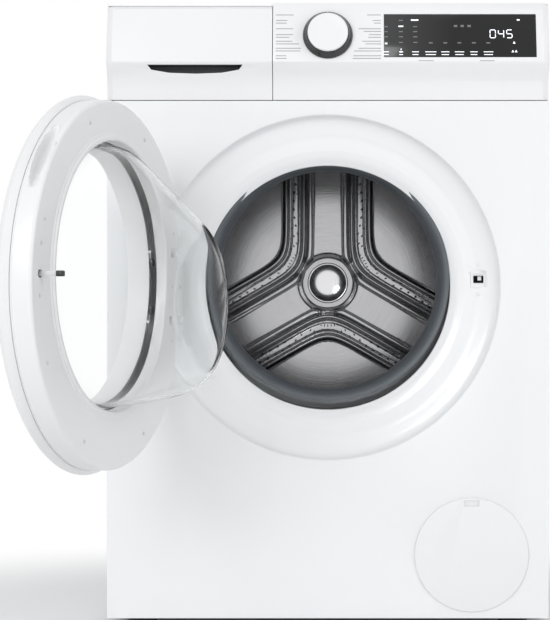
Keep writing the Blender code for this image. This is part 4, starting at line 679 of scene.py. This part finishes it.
skirt = turned_on_fascia("knob_skirt_gloss", [
    (0, 0.0004), (0.0334, 0.0004), (0.0337, 0.0012), (0.0334, 0.0024), (0.0322, 0.0040), (0.0306, 0.0056),
    (0.0292, 0.0078), (0.0286, 0.0096), (0.0280, 0.0101), (0.0262, 0.0101), (0, 0.0101),
])
gloss_black = living_finish(
    "gloss_black", (0.014, 0.014, 0.015), (0.020, 0.020, 0.021), 0.16,
    cloud=25, grain=1500, bump=0.01, coat=0.4,
)
finished(skirt, gloss_black, "knob", "black_plastic", "knob_skirt")
cap = turned_on_fascia("knob_cap_satin", [
    (0, 0.0101), (0.0262, 0.0101), (0.0270, 0.0106), (0.0272, 0.0114), (0.0271, 0.0132), (0.0266, 0.0141),
    (0.0258, 0.0145), (0.0235, 0.0146), (0.0228, 0.0143), (0.0120, 0.0141), (0, 0.0141),
])
finished(cap, white_moulding, "knob", "white_plastic", "knob_cap")
pointer = block("knob_pointer", (-0.0005, -0.0001, -0.0020), (0.0005, 0.0001, 0.0020))
pointer.data.transform(
    Matrix.Translation(on_fascia(0, fascia_spot.z + 0.0312, 0.0046)) @ Matrix.Rotation(-lean - 0.75, 4, "X")
)
finished(pointer, white_moulding, "knob", "white_plastic")


# Detergent drawer: the left end of the fascia, with a grey finger grip moulded under its edge.
# Behind it a pale tray of three bays slides in an open housing, on the drawer's own runners.
grip_moulding = living_finish(
    "grip_moulding", (0.075, 0.078, 0.084), (0.055, 0.057, 0.062), 0.42, cloud=30, grain=1600, bump=0.08
)
pale_moulding = living_finish(
    "pale_moulding", (0.66, 0.68, 0.70), (0.60, 0.62, 0.65), 0.44, cloud=9, grain=1200, bump=0.06
)
softened("drawer_front", white_moulding, 0.0008, 3)
softened("drawer_grip", grip_moulding, 0.0006, 3)
softened("drawer_tray", pale_moulding, 0.0006)
softened("dispenser_housing", pale_moulding, 0.0005)


# Door seal: dark bellows from the collar's edge to the tub's neck, with rounded folds.
# It hangs between the still collar and the moving tub.
seal_rubber = living_finish(
    "seal_rubber", (0.110, 0.124, 0.137), (0.086, 0.098, 0.109), 0.50, cloud=14, grain=900, bump=0.10
)
seal_low, seal_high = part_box("gasket")
seal_front = seal_low.y - front_y
seal_radius = (seal_high.x - seal_low.x) / 2
collar_wall = opening_radius - 0.0006
lip_radius = 0.151
folds = [
    (collar_wall, seal_front + 0.0006), (collar_wall, 0.0330), (collar_wall - 0.0020, 0.0362),
    (collar_wall - 0.0050, 0.0382), (collar_wall - 0.0052, 0.0540), (collar_wall - 0.0030, 0.0585),
    (seal_radius - 0.0006, 0.0612), (seal_radius - 0.0004, 0.0765), (0.1600, 0.0815),
    (lip_radius + 0.0012, 0.0836), (lip_radius, 0.0826), (lip_radius, 0.0800), (lip_radius + 0.0028, 0.0722),
    (lip_radius + 0.0048, 0.0640), (lip_radius + 0.0052, 0.0560), (lip_radius + 0.0040, 0.0490),
    (lip_radius + 0.0034, 0.0420), (lip_radius + 0.0044, 0.0360), (lip_radius + 0.0062, 0.0312),
    (lip_radius + 0.0092, 0.0280), (collar_wall - 0.0030, seal_front + 0.0001),
]
seal = spun("door_seal", folds, axis_middle, 160, 0, 60)
paint(seal, seal_rubber)
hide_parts("gasket")
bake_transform(seal)


# Drum: a stainless shell with rolled edges, rows of small perforations and three lifters.
# It is brushed round its axis; the lifters are pressed triangular ribs along its wall.
drum_middle = axis_middle
drum_low, drum_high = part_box("drum_shell")
drum_radius = (drum_high.x - drum_low.x) / 2
drum_front = drum_low.y - front_y
drum_back_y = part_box("drum_back")[0].y - front_y
mouth_radius = 0.1542

hole_pattern = bpy.data.node_groups.new("hole_pattern", "ShaderNodeTree")
for socket, value in (("Across", 0.0), ("Along", 0.0), ("Pitch", 0.012), ("Hole", 0.16)):
    opening_on(hole_pattern, socket, "Float", value)
opening_on(hole_pattern, "Mask", "Float")
asked = added(hole_pattern, "NodeGroupInput").outputs
row = arithmetic(hole_pattern, "DIVIDE", asked["Along"], asked["Pitch"])
odd_row = arithmetic(hole_pattern, "MODULO", arithmetic(hole_pattern, "FLOOR", row), 2.0)
column = arithmetic(hole_pattern, "DIVIDE", asked["Across"], asked["Pitch"])
column = arithmetic(hole_pattern, "MULTIPLY_ADD", odd_row, 0.5, column)
from_row = arithmetic(hole_pattern, "SUBTRACT", arithmetic(hole_pattern, "FRACT", row), 0.5)
from_column = arithmetic(hole_pattern, "SUBTRACT", arithmetic(hole_pattern, "FRACT", column), 0.5)
column_square = arithmetic(hole_pattern, "MULTIPLY", from_column, from_column)
from_hole = arithmetic(
    hole_pattern, "SQRT", arithmetic(hole_pattern, "MULTIPLY_ADD", from_row, from_row, column_square)
)
hole_edge = added(hole_pattern, "ShaderNodeMapRange", {
    "Value": from_hole, "From Min": asked["Hole"],
    "From Max": arithmetic(hole_pattern, "ADD", asked["Hole"], 0.07),
}, interpolation_type="SMOOTHSTEP")
added(hole_pattern, "NodeGroupOutput", {"Mask": hole_edge.outputs["Result"]})


def drum_steel(name, tone, roughness, holes=None):
    """Brushed stainless steel seen round the drum's axis, with rows of perforations where asked.

    holes is "wall" for rows round the shell, or "back" for rings on the end plate's bands.
    """
    finish = bpy.data.materials.new(name)
    finish.use_nodes = True
    tree = finish.node_tree
    shader = tree.nodes["Principled BSDF"]
    shader.inputs["Metallic"].default_value = 1.0
    place = added(tree, "ShaderNodeTexCoord").outputs["Object"]
    middle = (drum_middle[0], front_y, drum_middle[1])
    from_middle = added(tree, "ShaderNodeVectorMath", {0: place, 1: middle}, operation="SUBTRACT").outputs[0]
    parts = added(tree, "ShaderNodeSeparateXYZ", {0: from_middle}).outputs
    turn = arithmetic(tree, "ARCTAN2", parts["Z"], parts["X"])
    squares = arithmetic(tree, "MULTIPLY", parts["X"], parts["X"])
    radius = arithmetic(tree, "SQRT", arithmetic(tree, "MULTIPLY_ADD", parts["Z"], parts["Z"], squares))
    brush_place = added(tree, "ShaderNodeCombineXYZ", {
        "X": arithmetic(tree, "MULTIPLY", turn, 2.0), "Y": arithmetic(tree, "MULTIPLY", radius, 900.0),
        "Z": arithmetic(tree, "MULTIPLY", parts["Y"], 900.0),
    }).outputs[0]
    brush_size = {"Vector": brush_place, "Scale": 1.0, "Detail": 2.0}
    brush = added(tree, "ShaderNodeTexNoise", brush_size).outputs["Fac"]
    cloud = added(tree, "ShaderNodeTexNoise", {"Vector": place, "Scale": 14.0}).outputs["Fac"]
    colour = added(tree, "ShaderNodeMix", {
        "Factor": brush, "A": (*tone, 1), "B": (*(value * 0.80 for value in tone), 1),
    }, data_type="RGBA").outputs["Result"]
    gloss = arithmetic(tree, "MULTIPLY_ADD", cloud, 0.12, roughness - 0.06)
    tree.links.new(gloss, shader.inputs["Roughness"])
    height = brush
    if holes:
        face_radius = 0.2264 if holes == "wall" else 0.1528
        pattern = added(tree, "ShaderNodeGroup", {
            "Along": parts["Y"] if holes == "wall" else radius,
            "Across": arithmetic(tree, "MULTIPLY", turn, face_radius),
            "Pitch": 0.0127 if holes == "wall" else 0.0120, "Hole": 0.13,
        }, node_tree=hole_pattern)
        shown = pattern.outputs["Mask"]
        if holes == "back":
            band = added(tree, "ShaderNodeAttribute", attribute_name="perforated").outputs["Fac"]
            gaps = arithmetic(tree, "MULTIPLY", arithmetic(tree, "SUBTRACT", 1.0, shown), band)
            shown = arithmetic(tree, "SUBTRACT", 1.0, arithmetic(tree, "MULTIPLY", gaps, 0.8))
        colour = added(tree, "ShaderNodeMix", {
            "Factor": shown, "A": (0.012, 0.012, 0.013, 1), "B": colour,
        }, data_type="RGBA").outputs["Result"]
        height = arithmetic(tree, "MULTIPLY_ADD", shown, 4.0, brush)
    relief = added(tree, "ShaderNodeBump", {"Strength": 0.06, "Distance": 0.0005, "Height": height})
    tree.links.new(colour, shader.inputs["Base Color"])
    tree.links.new(relief.outputs["Normal"], shader.inputs["Normal"])
    return finish


wall_steel = drum_steel("drum_wall_steel", (0.46, 0.46, 0.47), 0.24, "wall")
plate_steel = drum_steel("drum_plate_steel", (0.55, 0.55, 0.56), 0.17, "back")
polished_steel = drum_steel("drum_polished_steel", (0.50, 0.50, 0.51), 0.17)
shell_wall = spun(
    "drum_wall",
    [
        (mouth_radius + 0.0004, drum_front + 0.0050), (mouth_radius + 0.0005, drum_front + 0.0018),
        (mouth_radius + 0.0020, drum_front + 0.0002), (mouth_radius + 0.0050, drum_front + 0.0003),
        (0.1680, drum_front + 0.0040), (0.1980, drum_front + 0.0110),
        (drum_radius - 0.0140, drum_front + 0.0135),
        (drum_radius - 0.0050, drum_front + 0.0165), (drum_radius - 0.0010, drum_front + 0.0230),
        (drum_radius, drum_front + 0.0300), (drum_radius, drum_back_y - 0.0110),
        (drum_radius - 0.0008, drum_back_y - 0.0060), (drum_radius - 0.0008, drum_back_y - 0.0004),
        (drum_radius - 0.0018, drum_back_y - 0.0004), (drum_radius - 0.0018, drum_back_y - 0.0060),
        (drum_radius - 0.0011, drum_back_y - 0.0115), (drum_radius - 0.0011, drum_front + 0.0305),
        (drum_radius - 0.0022, drum_front + 0.0240), (drum_radius - 0.0062, drum_front + 0.0178),
        (drum_radius - 0.0145, drum_front + 0.0148), (0.1978, drum_front + 0.0123),
        (0.1676, drum_front + 0.0053), (mouth_radius + 0.0050, drum_front + 0.0015),
        (mouth_radius + 0.0026, drum_front + 0.0014), (mouth_radius + 0.0016, drum_front + 0.0024),
        (mouth_radius + 0.0014, drum_front + 0.0050),
    ],
    drum_middle, 192, 0, 50,
)
finished(shell_wall, wall_steel, "drum", "stainless", "drum_shell")


def drawn(name, outline, near, far, edge=0.0, segments=3):
    """A flat (x, z) outline drawn along Y between two depths; the outline runs anticlockwise."""
    bpy.ops.object.select_all(action="DESELECT")
    bpy.ops.mesh.primitive_circle_add(
        vertices=len(outline), radius=0.1, fill_type="NGON", location=(0, 0, 0), rotation=(math.pi / 2, 0, 0)
    )
    piece = bpy.context.object
    piece.name = name
    bpy.ops.object.transform_apply(location=True, rotation=True, scale=True)
    for vertex, (x, z) in zip(piece.data.vertices, outline):
        vertex.co = (x, near, z)
    bpy.ops.object.mode_set(mode="EDIT")
    bpy.ops.mesh.select_all(action="SELECT")
    bpy.ops.mesh.extrude_region_move(TRANSFORM_OT_translate={"value": (0, far - near, 0)})
    bpy.ops.mesh.select_all(action="SELECT")
    bpy.ops.mesh.normals_make_consistent(inside=False)
    bpy.ops.object.mode_set(mode="OBJECT")
    if edge:
        round_edges(piece, edge, segments)
    bpy.ops.object.shade_smooth_by_angle(angle=math.radians(40))
    return piece


def around(middle, radius, degrees):
    """The (x, z) point at a radius and an angle from a middle."""
    turn = math.radians(degrees)
    return (middle[0] + radius * math.cos(turn), middle[1] + radius * math.sin(turn))


lifter_front = front_y + drum_front + 0.042
lifter_back = front_y + drum_back_y - 0.024
half_outline = [(0.2386, 0.0205), (0.2290, 0.0180), (0.2140, 0.0095), (0.2070, 0.0030)]
outline = half_outline + [(radius, -half) for radius, half in reversed(half_outline)]
for degrees in (60, 180, 300):
    turn = math.radians(degrees)
    placed = [
        (
            drum_middle[0] + radius * math.cos(turn) - half * math.sin(turn),
            drum_middle[1] + radius * math.sin(turn) + half * math.cos(turn),
        )
        for radius, half in reversed(outline)
    ]
    lifter = drawn("drum_lifter", placed, lifter_front, lifter_back, 0.004, 4)
    finished(lifter, polished_steel, "drum", "stainless")

# The end plate is one pressed sheet. Three smooth arms meet at the hub, and a boomerang band
# lies in each gap between them, with a rolled bead along both of its sides.
arm_half = 0.0306
band_width = 0.0400
plate_radius = drum_radius - 0.0016
hub_rise = 0.0034
ring_count = 108
face = [(plate_radius * step / ring_count, drum_back_y) for step in range(ring_count + 1)]
rear = [(plate_radius, drum_back_y + 0.0024), (0, drum_back_y + 0.0024)]
end_plate = spun("drum_end_plate", face + rear, drum_middle, 480)


def gap_distance(x, z):
    """How far a place on the plate lies outside the nearest arm, rounded where two arms meet."""
    total = 0.0
    sharpness = 110.0
    for degrees in (90, 210, 330):
        turn = math.radians(degrees)
        along = x * math.cos(turn) + z * math.sin(turn)
        across = abs(z * math.cos(turn) - x * math.sin(turn)) - arm_half
        outside = across if along > 0 else math.hypot(across + arm_half, along) - arm_half
        total += math.exp(-sharpness * max(outside, -0.03))
    return -math.log(total) / sharpness


def eased(value, start, end):
    """0 before start, 1 after end, and a smooth rise between."""
    share = min(max((value - start) / (end - start), 0.0), 1.0)
    return share * share * (3 - 2 * share)


def bead(value, middle, half):
    """A round bead of height 1 on a middle."""
    share = (value - middle) / half
    return max(0.0, 1 - share * share) ** 0.75


def pressed_height(x, z):
    """How far the sheet stands towards the door at a place."""
    radius = math.hypot(x, z)
    gap = gap_distance(x, z)
    fade = 1 - eased(radius, plate_radius - 0.020, plate_radius - 0.006)
    band = eased(gap, 0.0005, 0.0060) * (1 - eased(gap, band_width - 0.0060, band_width - 0.0005))
    height = 0.0036 * band
    height += 0.0048 * bead(gap, 0.0058, 0.0050) + 0.0040 * bead(gap, band_width - 0.0062, 0.0046)
    height -= 0.0016 * bead(gap, 0.0125, 0.0030) + 0.0016 * bead(gap, band_width - 0.0125, 0.0030)
    height -= 0.0018 * bead(gap, -0.0040, 0.0050)
    hub = 1 - eased(radius, 0.0375, 0.0480)
    return height * fade * (1 - hub) + hub_rise * hub


band_mask = end_plate.data.attributes.new("perforated", "FLOAT", "POINT")
for vertex in end_plate.data.vertices:
    across = vertex.co.x - drum_middle[0]
    along = vertex.co.z - drum_middle[1]
    gap = gap_distance(across, along)
    inner_edge = eased(gap, 0.0120, 0.0150)
    outer_edge = 1 - eased(gap, band_width - 0.0150, band_width - 0.0120)
    rim_edge = 1 - eased(math.hypot(across, along), plate_radius - 0.030, plate_radius - 0.022)
    band_mask.data[vertex.index].value = inner_edge * outer_edge * rim_edge
    if vertex.co.y < front_y + drum_back_y + 0.0010:
        vertex.co.y -= pressed_height(across, along)
end_plate.data.update()
finished(end_plate, plate_steel, "drum", "stainless", "drum_back")

# Hub cap: a polished dish with a rolled rim, clipped over the shaft's bolt.
cap_radius = 0.0313
cap_face = drum_back_y - hub_rise
cap_curve = []
for step in range(19):
    radius = 0.0265 * step / 18
    cap_curve.append((radius, cap_face - 0.0026 - 0.0040 * (radius / 0.0265) ** 2.2))
hub_cap = spun("hub_cap_dish", cap_curve + [
    (0.0282, cap_face - 0.0074), (0.0294, cap_face - 0.0078), (0.0306, cap_face - 0.0074),
    (cap_radius, cap_face - 0.0062), (cap_radius, cap_face + 0.0006), (0, cap_face + 0.0006),
], drum_middle, 128, 0, 50)
cap_steel = living_finish(
    "hub_cap_steel", (0.80, 0.80, 0.81), (0.75, 0.75, 0.76), 0.10, 1.0,
    cloud=25, grain=300, bump=0.0, spread=0.03,
)
finished(hub_cap, cap_steel, "drum", "stainless", "hub_cap")

# Behind the drum: the cast carrier with its shaft, and the pulley.
cast_metal = living_finish(
    "cast_aluminium", (0.52, 0.53, 0.54), (0.40, 0.41, 0.42), 0.46, 1.0, cloud=30, grain=500, bump=0.25
)
softened("drum_shaft", cast_metal, 0.0012, 2)
softened("drum_pulley", cast_metal, 0.0006, 2)


# Door: built shut, in its recess, then swung open with the same turn as the working model.
# Everything here is white moulding unless said otherwise.
hinge_place = Vector(joint_places["door_swing"])
open_degrees = 108.75
rim_radius = 0.2360
frame_radius = 0.2297
door_hole = 0.1677
frame_back = 0.0020
frame_seam = -0.0250
glass_front = -0.0205
glass_back = -0.0121


def swing_open(piece):
    """Turns a piece that was built shut to the open door's place."""
    turn = Matrix.Rotation(math.radians(-open_degrees), 4, "Z")
    piece.data.transform(Matrix.Translation(hinge_place) @ turn @ Matrix.Translation(-hinge_place))
    piece.data.update()


def hung(piece, finish, slot, *replaced, body="door"):
    """Opens a piece with the door, then finishes it."""
    swing_open(piece)
    return finished(piece, finish, body, slot, *replaced)


def flat_sides(piece):
    """Keeps the broad flat sides flat where a curve meets them."""
    for face in piece.data.polygons:
        if abs(face.normal.y) > 0.9995:
            face.use_smooth = False


door_white = living_finish(
    "door_white", (0.80, 0.805, 0.81), (0.76, 0.765, 0.77), 0.30, cloud=4, grain=2000, bump=0.03, coat=0.15
)
shoulder = [(0.0, -0.0560), (0.1700, -0.0550)]
for step in range(1, 9):
    share = step / 8
    shoulder.append((0.1700 + 0.0350 * share, -0.0550 + 0.0030 * share ** 1.8))
shoulder += [
    (0.2085, -0.0508), (0.2120, -0.0496), (0.2155, -0.0483), (0.2190, -0.0468), (0.2222, -0.0455),
    (0.2250, -0.0445), (0.2280, -0.0428), (0.2305, -0.0408), (0.2325, -0.0390), (0.2340, -0.0372),
    (0.2350, -0.0358), (0.2356, -0.0345), (rim_radius, -0.0324),
]
cover = spun("door_cover", shoulder + [
    (rim_radius - 0.0006, -0.0315), (rim_radius - 0.0030, -0.0282),
    (frame_radius + 0.0008, frame_seam - 0.0006), (frame_radius - 0.0020, frame_seam - 0.0004),
    (rim_radius - 0.0062, -0.0300), (0.2290, -0.0365), (0.2200, -0.0430), (0.2040, -0.0490),
    (0.1700, -0.0520), (0, -0.0530),
], dish_middle, 200, 0, 40)
cut_away(cover, drum_like(door_hole - 0.0010, -0.08, 0.02, axis_middle, steps=160))
bpy.context.view_layer.objects.active = cover
round_edges(cover, 0.0006, 2, 50)
bpy.ops.object.shade_smooth_by_angle(angle=math.radians(40))
hung(cover, door_white, "white_plastic", "door_outer_ring")
trim = spun("door_cover_wall", [
    (door_hole - 0.0014, -0.0548), (door_hole + 0.0008, -0.0542), (door_hole + 0.0012, -0.0230),
    (door_hole + 0.0008, glass_front - 0.0004), (door_hole - 0.0016, glass_front - 0.0004),
    (door_hole - 0.0018, -0.0500),
], axis_middle, 160, 0, 40)
hung(trim, door_white, "white_plastic")

# The inner frame: a side band, a flat flange with a soft edge, and a stepped ring at the glass.
inner = spun("door_frame", [
    (0, frame_back - 0.0038), (0.2255, frame_back - 0.0038), (0.2264, frame_back - 0.0050),
    (0.2268, frame_seam + 0.0010), (0.2268, frame_seam), (frame_radius - 0.0003, frame_seam),
    (frame_radius, frame_seam + 0.0006), (frame_radius, -0.0235), (frame_radius - 0.0005, -0.0230),
    (frame_radius - 0.0005, -0.0224), (frame_radius, -0.0219), (frame_radius, -0.0030),
    (frame_radius - 0.0003, -0.0014), (frame_radius - 0.0012, 0.0004), (frame_radius - 0.0026, 0.0015),
    (frame_radius - 0.0046, frame_back), (0.2210, frame_back), (0, frame_back),
], dish_middle, 200, 0, 30)
grip_turn = math.radians(42)
grip_reach = frame_radius + 0.0040
grip_place = Vector((
    dish_middle[0] + grip_reach * math.cos(grip_turn), front_y + (frame_seam + frame_back) / 2,
    dish_middle[1] + grip_reach * math.sin(grip_turn),
))


def scoop(name, grow):
    """The long hollow that the fingers reach into, wider or narrower by grow."""
    bpy.ops.object.select_all(action="DESELECT")
    bpy.ops.mesh.primitive_uv_sphere_add(segments=64, ring_count=32, radius=1)
    piece = bpy.context.object
    piece.name = name
    piece.scale = (0.0200 + grow, 0.0095 + grow, 0.0600 + grow)
    piece.rotation_euler = (0, -grip_turn, 0)
    piece.location = grip_place
    bpy.ops.object.transform_apply(location=True, rotation=True, scale=True)
    return piece


lining = scoop("grip_lining", 0.0022)
cut_away(lining, drum_like(frame_radius - 0.0006, frame_seam + 0.0004, frame_back - 0.0004, dish_middle),
         operation="INTERSECT")
cut_away(inner, lining, operation="UNION")
cut_away(inner, scoop("grip_hollow", 0), drum_like(door_hole + 0.0010, -0.08, 0.02, axis_middle, steps=160))
hook_slot = block(
    "hook_slot",
    (centre_x + 0.2020, front_y - 0.01, opening_z - 0.0045),
    (centre_x + 0.2140, front_y + 0.02, opening_z + 0.0045),
)
cut_away(inner, hook_slot)
for side in (-1, 1):
    middle = recess_z + side * 0.045
    cut_away(inner, block(
        "knuckle_notch", (centre_x - 0.2380, front_y - 0.0300, middle - 0.0060),
        (centre_x - 0.1900, front_y + 0.0100, middle + 0.0060), 0.0010,
    ))
bpy.context.view_layer.objects.active = inner
round_edges(inner, 0.0005, 2, 45)
bpy.ops.object.shade_smooth_by_angle(angle=math.radians(32))
flat_sides(inner)
hung(inner, door_white, "white_plastic", "door_inner_frame")

step_ring = spun("door_step_ring", [
    (door_hole - 0.0004, -0.0115), (door_hole + 0.0022, -0.0115), (door_hole + 0.0026, 0.0008),
    (door_hole + 0.0110, 0.0014), (door_hole + 0.0112, frame_back + 0.0002),
    (door_hole + 0.0104, frame_back + 0.0008), (door_hole + 0.0068, frame_back + 0.0009),
    (door_hole + 0.0060, frame_back + 0.0020), (door_hole + 0.0050, frame_back + 0.0025),
    (door_hole + 0.0016, frame_back + 0.0025), (door_hole + 0.0002, frame_back + 0.0018),
    (door_hole - 0.0004, frame_back + 0.0004),
], axis_middle, 180, 0, 35)
flat_sides(step_ring)
hung(step_ring, door_white, "white_plastic")

# Frame screws: small pale domes with a sunk middle, screwed through the inner frame into the cover.
screw_white = living_finish(
    "screw_white", (0.66, 0.665, 0.67), (0.58, 0.585, 0.59), 0.30, cloud=60, grain=900, bump=0.05
)
screws = []
for degrees in (70, 116, 160, 180, -160, -115, -65, -26, -4, 13, 21):
    place = around(dish_middle, 0.2085, degrees)
    screw = spun("frame_screw", [
        (0, frame_back + 0.0003), (0.0007, frame_back + 0.0003), (0.0009, frame_back + 0.0010),
        (0.0019, frame_back + 0.0010), (0.0025, frame_back + 0.0006), (0.0027, frame_back - 0.0004),
        (0, frame_back - 0.0004),
    ], place, 32, 0, 40)
    screws.append(screw)
frame_screws = joined("frame_screws", screws)
hung(frame_screws, screw_white, "white_plastic")


# Door bowl: clear glass, a few millimetres thick, with a clamped rim and a slanting upper wall.
# Its sections are rings, (depth, radius, drop), whose centres drop towards the flat end.
bowl_stations = [
    (glass_back, 0.1640, 0.0), (-0.0060, 0.1633, 0.0), (0.0000, 0.1626, 0.0001), (0.0060, 0.1616, 0.0003),
    (0.0110, 0.1602, 0.0010), (0.0160, 0.1582, 0.0023), (0.0230, 0.1545, 0.0050), (0.0300, 0.1506, 0.0078),
    (0.0400, 0.1452, 0.0116), (0.0500, 0.1398, 0.0154), (0.0600, 0.1343, 0.0191), (0.0700, 0.1287, 0.0227),
    (0.0790, 0.1236, 0.0258), (0.0880, 0.1182, 0.0288), (0.0950, 0.1136, 0.0307), (0.1020, 0.1088, 0.0324),
    (0.1070, 0.1048, 0.0335), (0.1110, 0.1010, 0.0344), (0.1145, 0.0970, 0.0351), (0.1172, 0.0926, 0.0357),
    (0.1190, 0.0884, 0.0361), (0.1198, 0.0846, 0.0364), (0.1200, 0.0800, 0.0366),
]
glass_wall = 0.0036


def bowl_ring(mesh, depth, radius, drop, steps=160):
    """The corners of one ring of the bowl, in order."""
    corners = []
    for step in range(steps):
        turn = 2 * math.pi * step / steps
        corners.append(mesh.verts.new((
            axis_middle[0] + radius * math.cos(turn), front_y + depth,
            axis_middle[1] - drop + radius * math.sin(turn),
        )))
    return corners


outside = [(glass_back, 0.1752, 0.0), (glass_back, 0.1660, 0.0)] + bowl_stations + [(0.1200, 0.0300, 0.0366)]
inside = [(glass_front, 0.1752, 0.0), (glass_front, 0.1612, 0.0), (glass_front + 0.0010, 0.1602, 0.0)]
for depth, radius, drop in bowl_stations[1:]:
    share = min(max((depth - 0.085) / 0.035, 0.0), 1.0)
    inside.append((depth - glass_wall * share, radius - glass_wall * (1 - 0.3 * share), drop))
inside.append((0.1200 - glass_wall, 0.0300, 0.0366))
bpy.ops.object.select_all(action="DESELECT")
bpy.ops.mesh.primitive_circle_add(vertices=160, radius=0.1)
bowl = bpy.context.object
bowl.name = "door_bowl"
bowl_mesh = bmesh.new()
loops = [bowl_ring(bowl_mesh, *station) for station in list(reversed(inside)) + outside]
for one, two in zip(loops, loops[1:]):
    for index in range(len(one)):
        following = (index + 1) % len(one)
        bowl_mesh.faces.new((one[index], one[following], two[following], two[index]))
bowl_mesh.faces.new(loops[0])
bowl_mesh.faces.new(loops[-1])
bmesh.ops.recalc_face_normals(bowl_mesh, faces=bowl_mesh.faces)
bowl_mesh.to_mesh(bowl.data)
bowl_mesh.free()
bpy.ops.object.shade_smooth_by_angle(angle=math.radians(50))

clear_glass = bpy.data.materials.new("clear_glass")
clear_glass.use_nodes = True
glass_tree = clear_glass.node_tree
glass_shader = glass_tree.nodes["Principled BSDF"]
glass_shader.inputs["Base Color"].default_value = (0.985, 0.99, 0.99, 1)
glass_shader.inputs["Transmission Weight"].default_value = 1.0
glass_shader.inputs["IOR"].default_value = 1.15
glass_place = added(glass_tree, "ShaderNodeTexCoord").outputs["Object"]
glass_film = added(glass_tree, "ShaderNodeTexNoise", {"Vector": glass_place, "Scale": 9}).outputs["Fac"]
glass_gloss = added(glass_tree, "ShaderNodeMapRange", {"Value": glass_film, "To Min": 0.0, "To Max": 0.02})
glass_tree.links.new(glass_gloss.outputs["Result"], glass_shader.inputs["Roughness"])
hung(bowl, clear_glass, "clear_glass", "door_glass")

# Hinge: a plate on the recess floor with two lugs and pins, and the door's arm with its knuckles.
softened("hinge_plate", white_enamel, 0.0006, 3)
softened("door_hinge_arm", zinc_plate, 0.0006, 2)

# The hook: a slim white lever on a sprung pin inside the frame, with a barbed black tip.
# Its place is the working model's, taken with the door shut.
shut_turn = Matrix.Rotation(math.radians(open_degrees), 4, "Z")
shut = Matrix.Translation(hinge_place) @ shut_turn @ Matrix.Translation(-hinge_place)
hook_points = [shut @ vertex.co for vertex in nodes["latch_hook"].data.vertices]
hook_low = [min(point[way] for point in hook_points) for way in range(3)]
hook_high = [max(point[way] for point in hook_points) for way in range(3)]
hook_middle = (hook_low[2] + hook_high[2]) / 2
lever = block(
    "hook_lever", (hook_low[0] + 0.0004, hook_low[1] + 0.0010, hook_middle - 0.0030),
    (hook_low[0] + 0.0050, hook_high[1] - 0.0060, hook_middle + 0.0030), 0.0010,
)
hung(lever, screw_white, "white_plastic", "latch_hook", body="hook")
tip = block(
    "hook_tip", (hook_low[0] + 0.0002, hook_high[1] - 0.0085, hook_middle - 0.0034),
    (min(hook_high[0], hook_low[0] + 0.0100) - 0.0002, hook_high[1] - 0.0002, hook_middle + 0.0034), 0.0012,
)
hung(tip, black_moulding, "black_plastic", body="hook")


# Tub and what it carries: two pale plastic shells and two cast concrete weights.
# It hangs on two coil springs and stands on two friction dampers.
for node in ("tub_front", "tub_rear"):
    paint(nodes[node], pale_moulding)
concrete = living_finish(
    "cast_concrete", (0.42, 0.41, 0.39), (0.30, 0.295, 0.28), 0.88,
    cloud=22, grain=260, bump=0.5, grain_mix=0.4,
)
for node in ("counterweight_upper", "counterweight_lower"):
    softened(node, concrete, 0.0030, 3)
for side in ("left", "right"):
    softened("damper_cylinder_" + side, black_moulding, 0.0006)
    for node in ("damper_rod_", "spring_"):
        paint(nodes[node + side], zinc_plate)

# Drive, heater and hoses inside: a cast motor with its module, a ribbed belt, a stainless
# heating loop low in the tub, and black rubber hoses.
heater_steel = living_finish(
    "heater_steel", (0.48, 0.47, 0.45), (0.36, 0.34, 0.31), 0.34, 1.0, cloud=40, grain=700, bump=0.06
)
belt_rubber = living_finish(
    "belt_rubber", (0.020, 0.020, 0.021), (0.032, 0.031, 0.030), 0.72, cloud=60, grain=1200, bump=0.20
)
paint(nodes["heater"], heater_steel)
paint(nodes["drive_belt"], belt_rubber)
for node in ("dispenser_hose", "sump_hose", "drain_hose_inner"):
    paint(nodes[node], black_rubber)
softened("motor_housing", cast_metal, 0.0008)
softened("motor_module", black_moulding, 0.0010)

# Drain pump, its housing and the filter behind the small flap at the foot of the front.
filter_grey = living_finish(
    "filter_grey", (0.20, 0.21, 0.22), (0.16, 0.17, 0.18), 0.42, cloud=18, grain=900, bump=0.08
)
paint(nodes["filter_housing"], pale_moulding)
softened("drain_pump", black_moulding, 0.0006)
softened("filter_insert", filter_grey, 0.0006, 3)
softened("pump_flap", white_moulding, 0.0008, 3)

# Connections at the back: the inlet valve's threaded neck, the drain spigot, the mains
# inlet and the screwed service cover.
softened("inlet_valve", white_moulding, 0.0004)
softened("drain_spigot", filter_grey, 0.0005)
softened("power_inlet", black_moulding, 0.0005)
softened("service_cover", white_enamel, 0.0005)
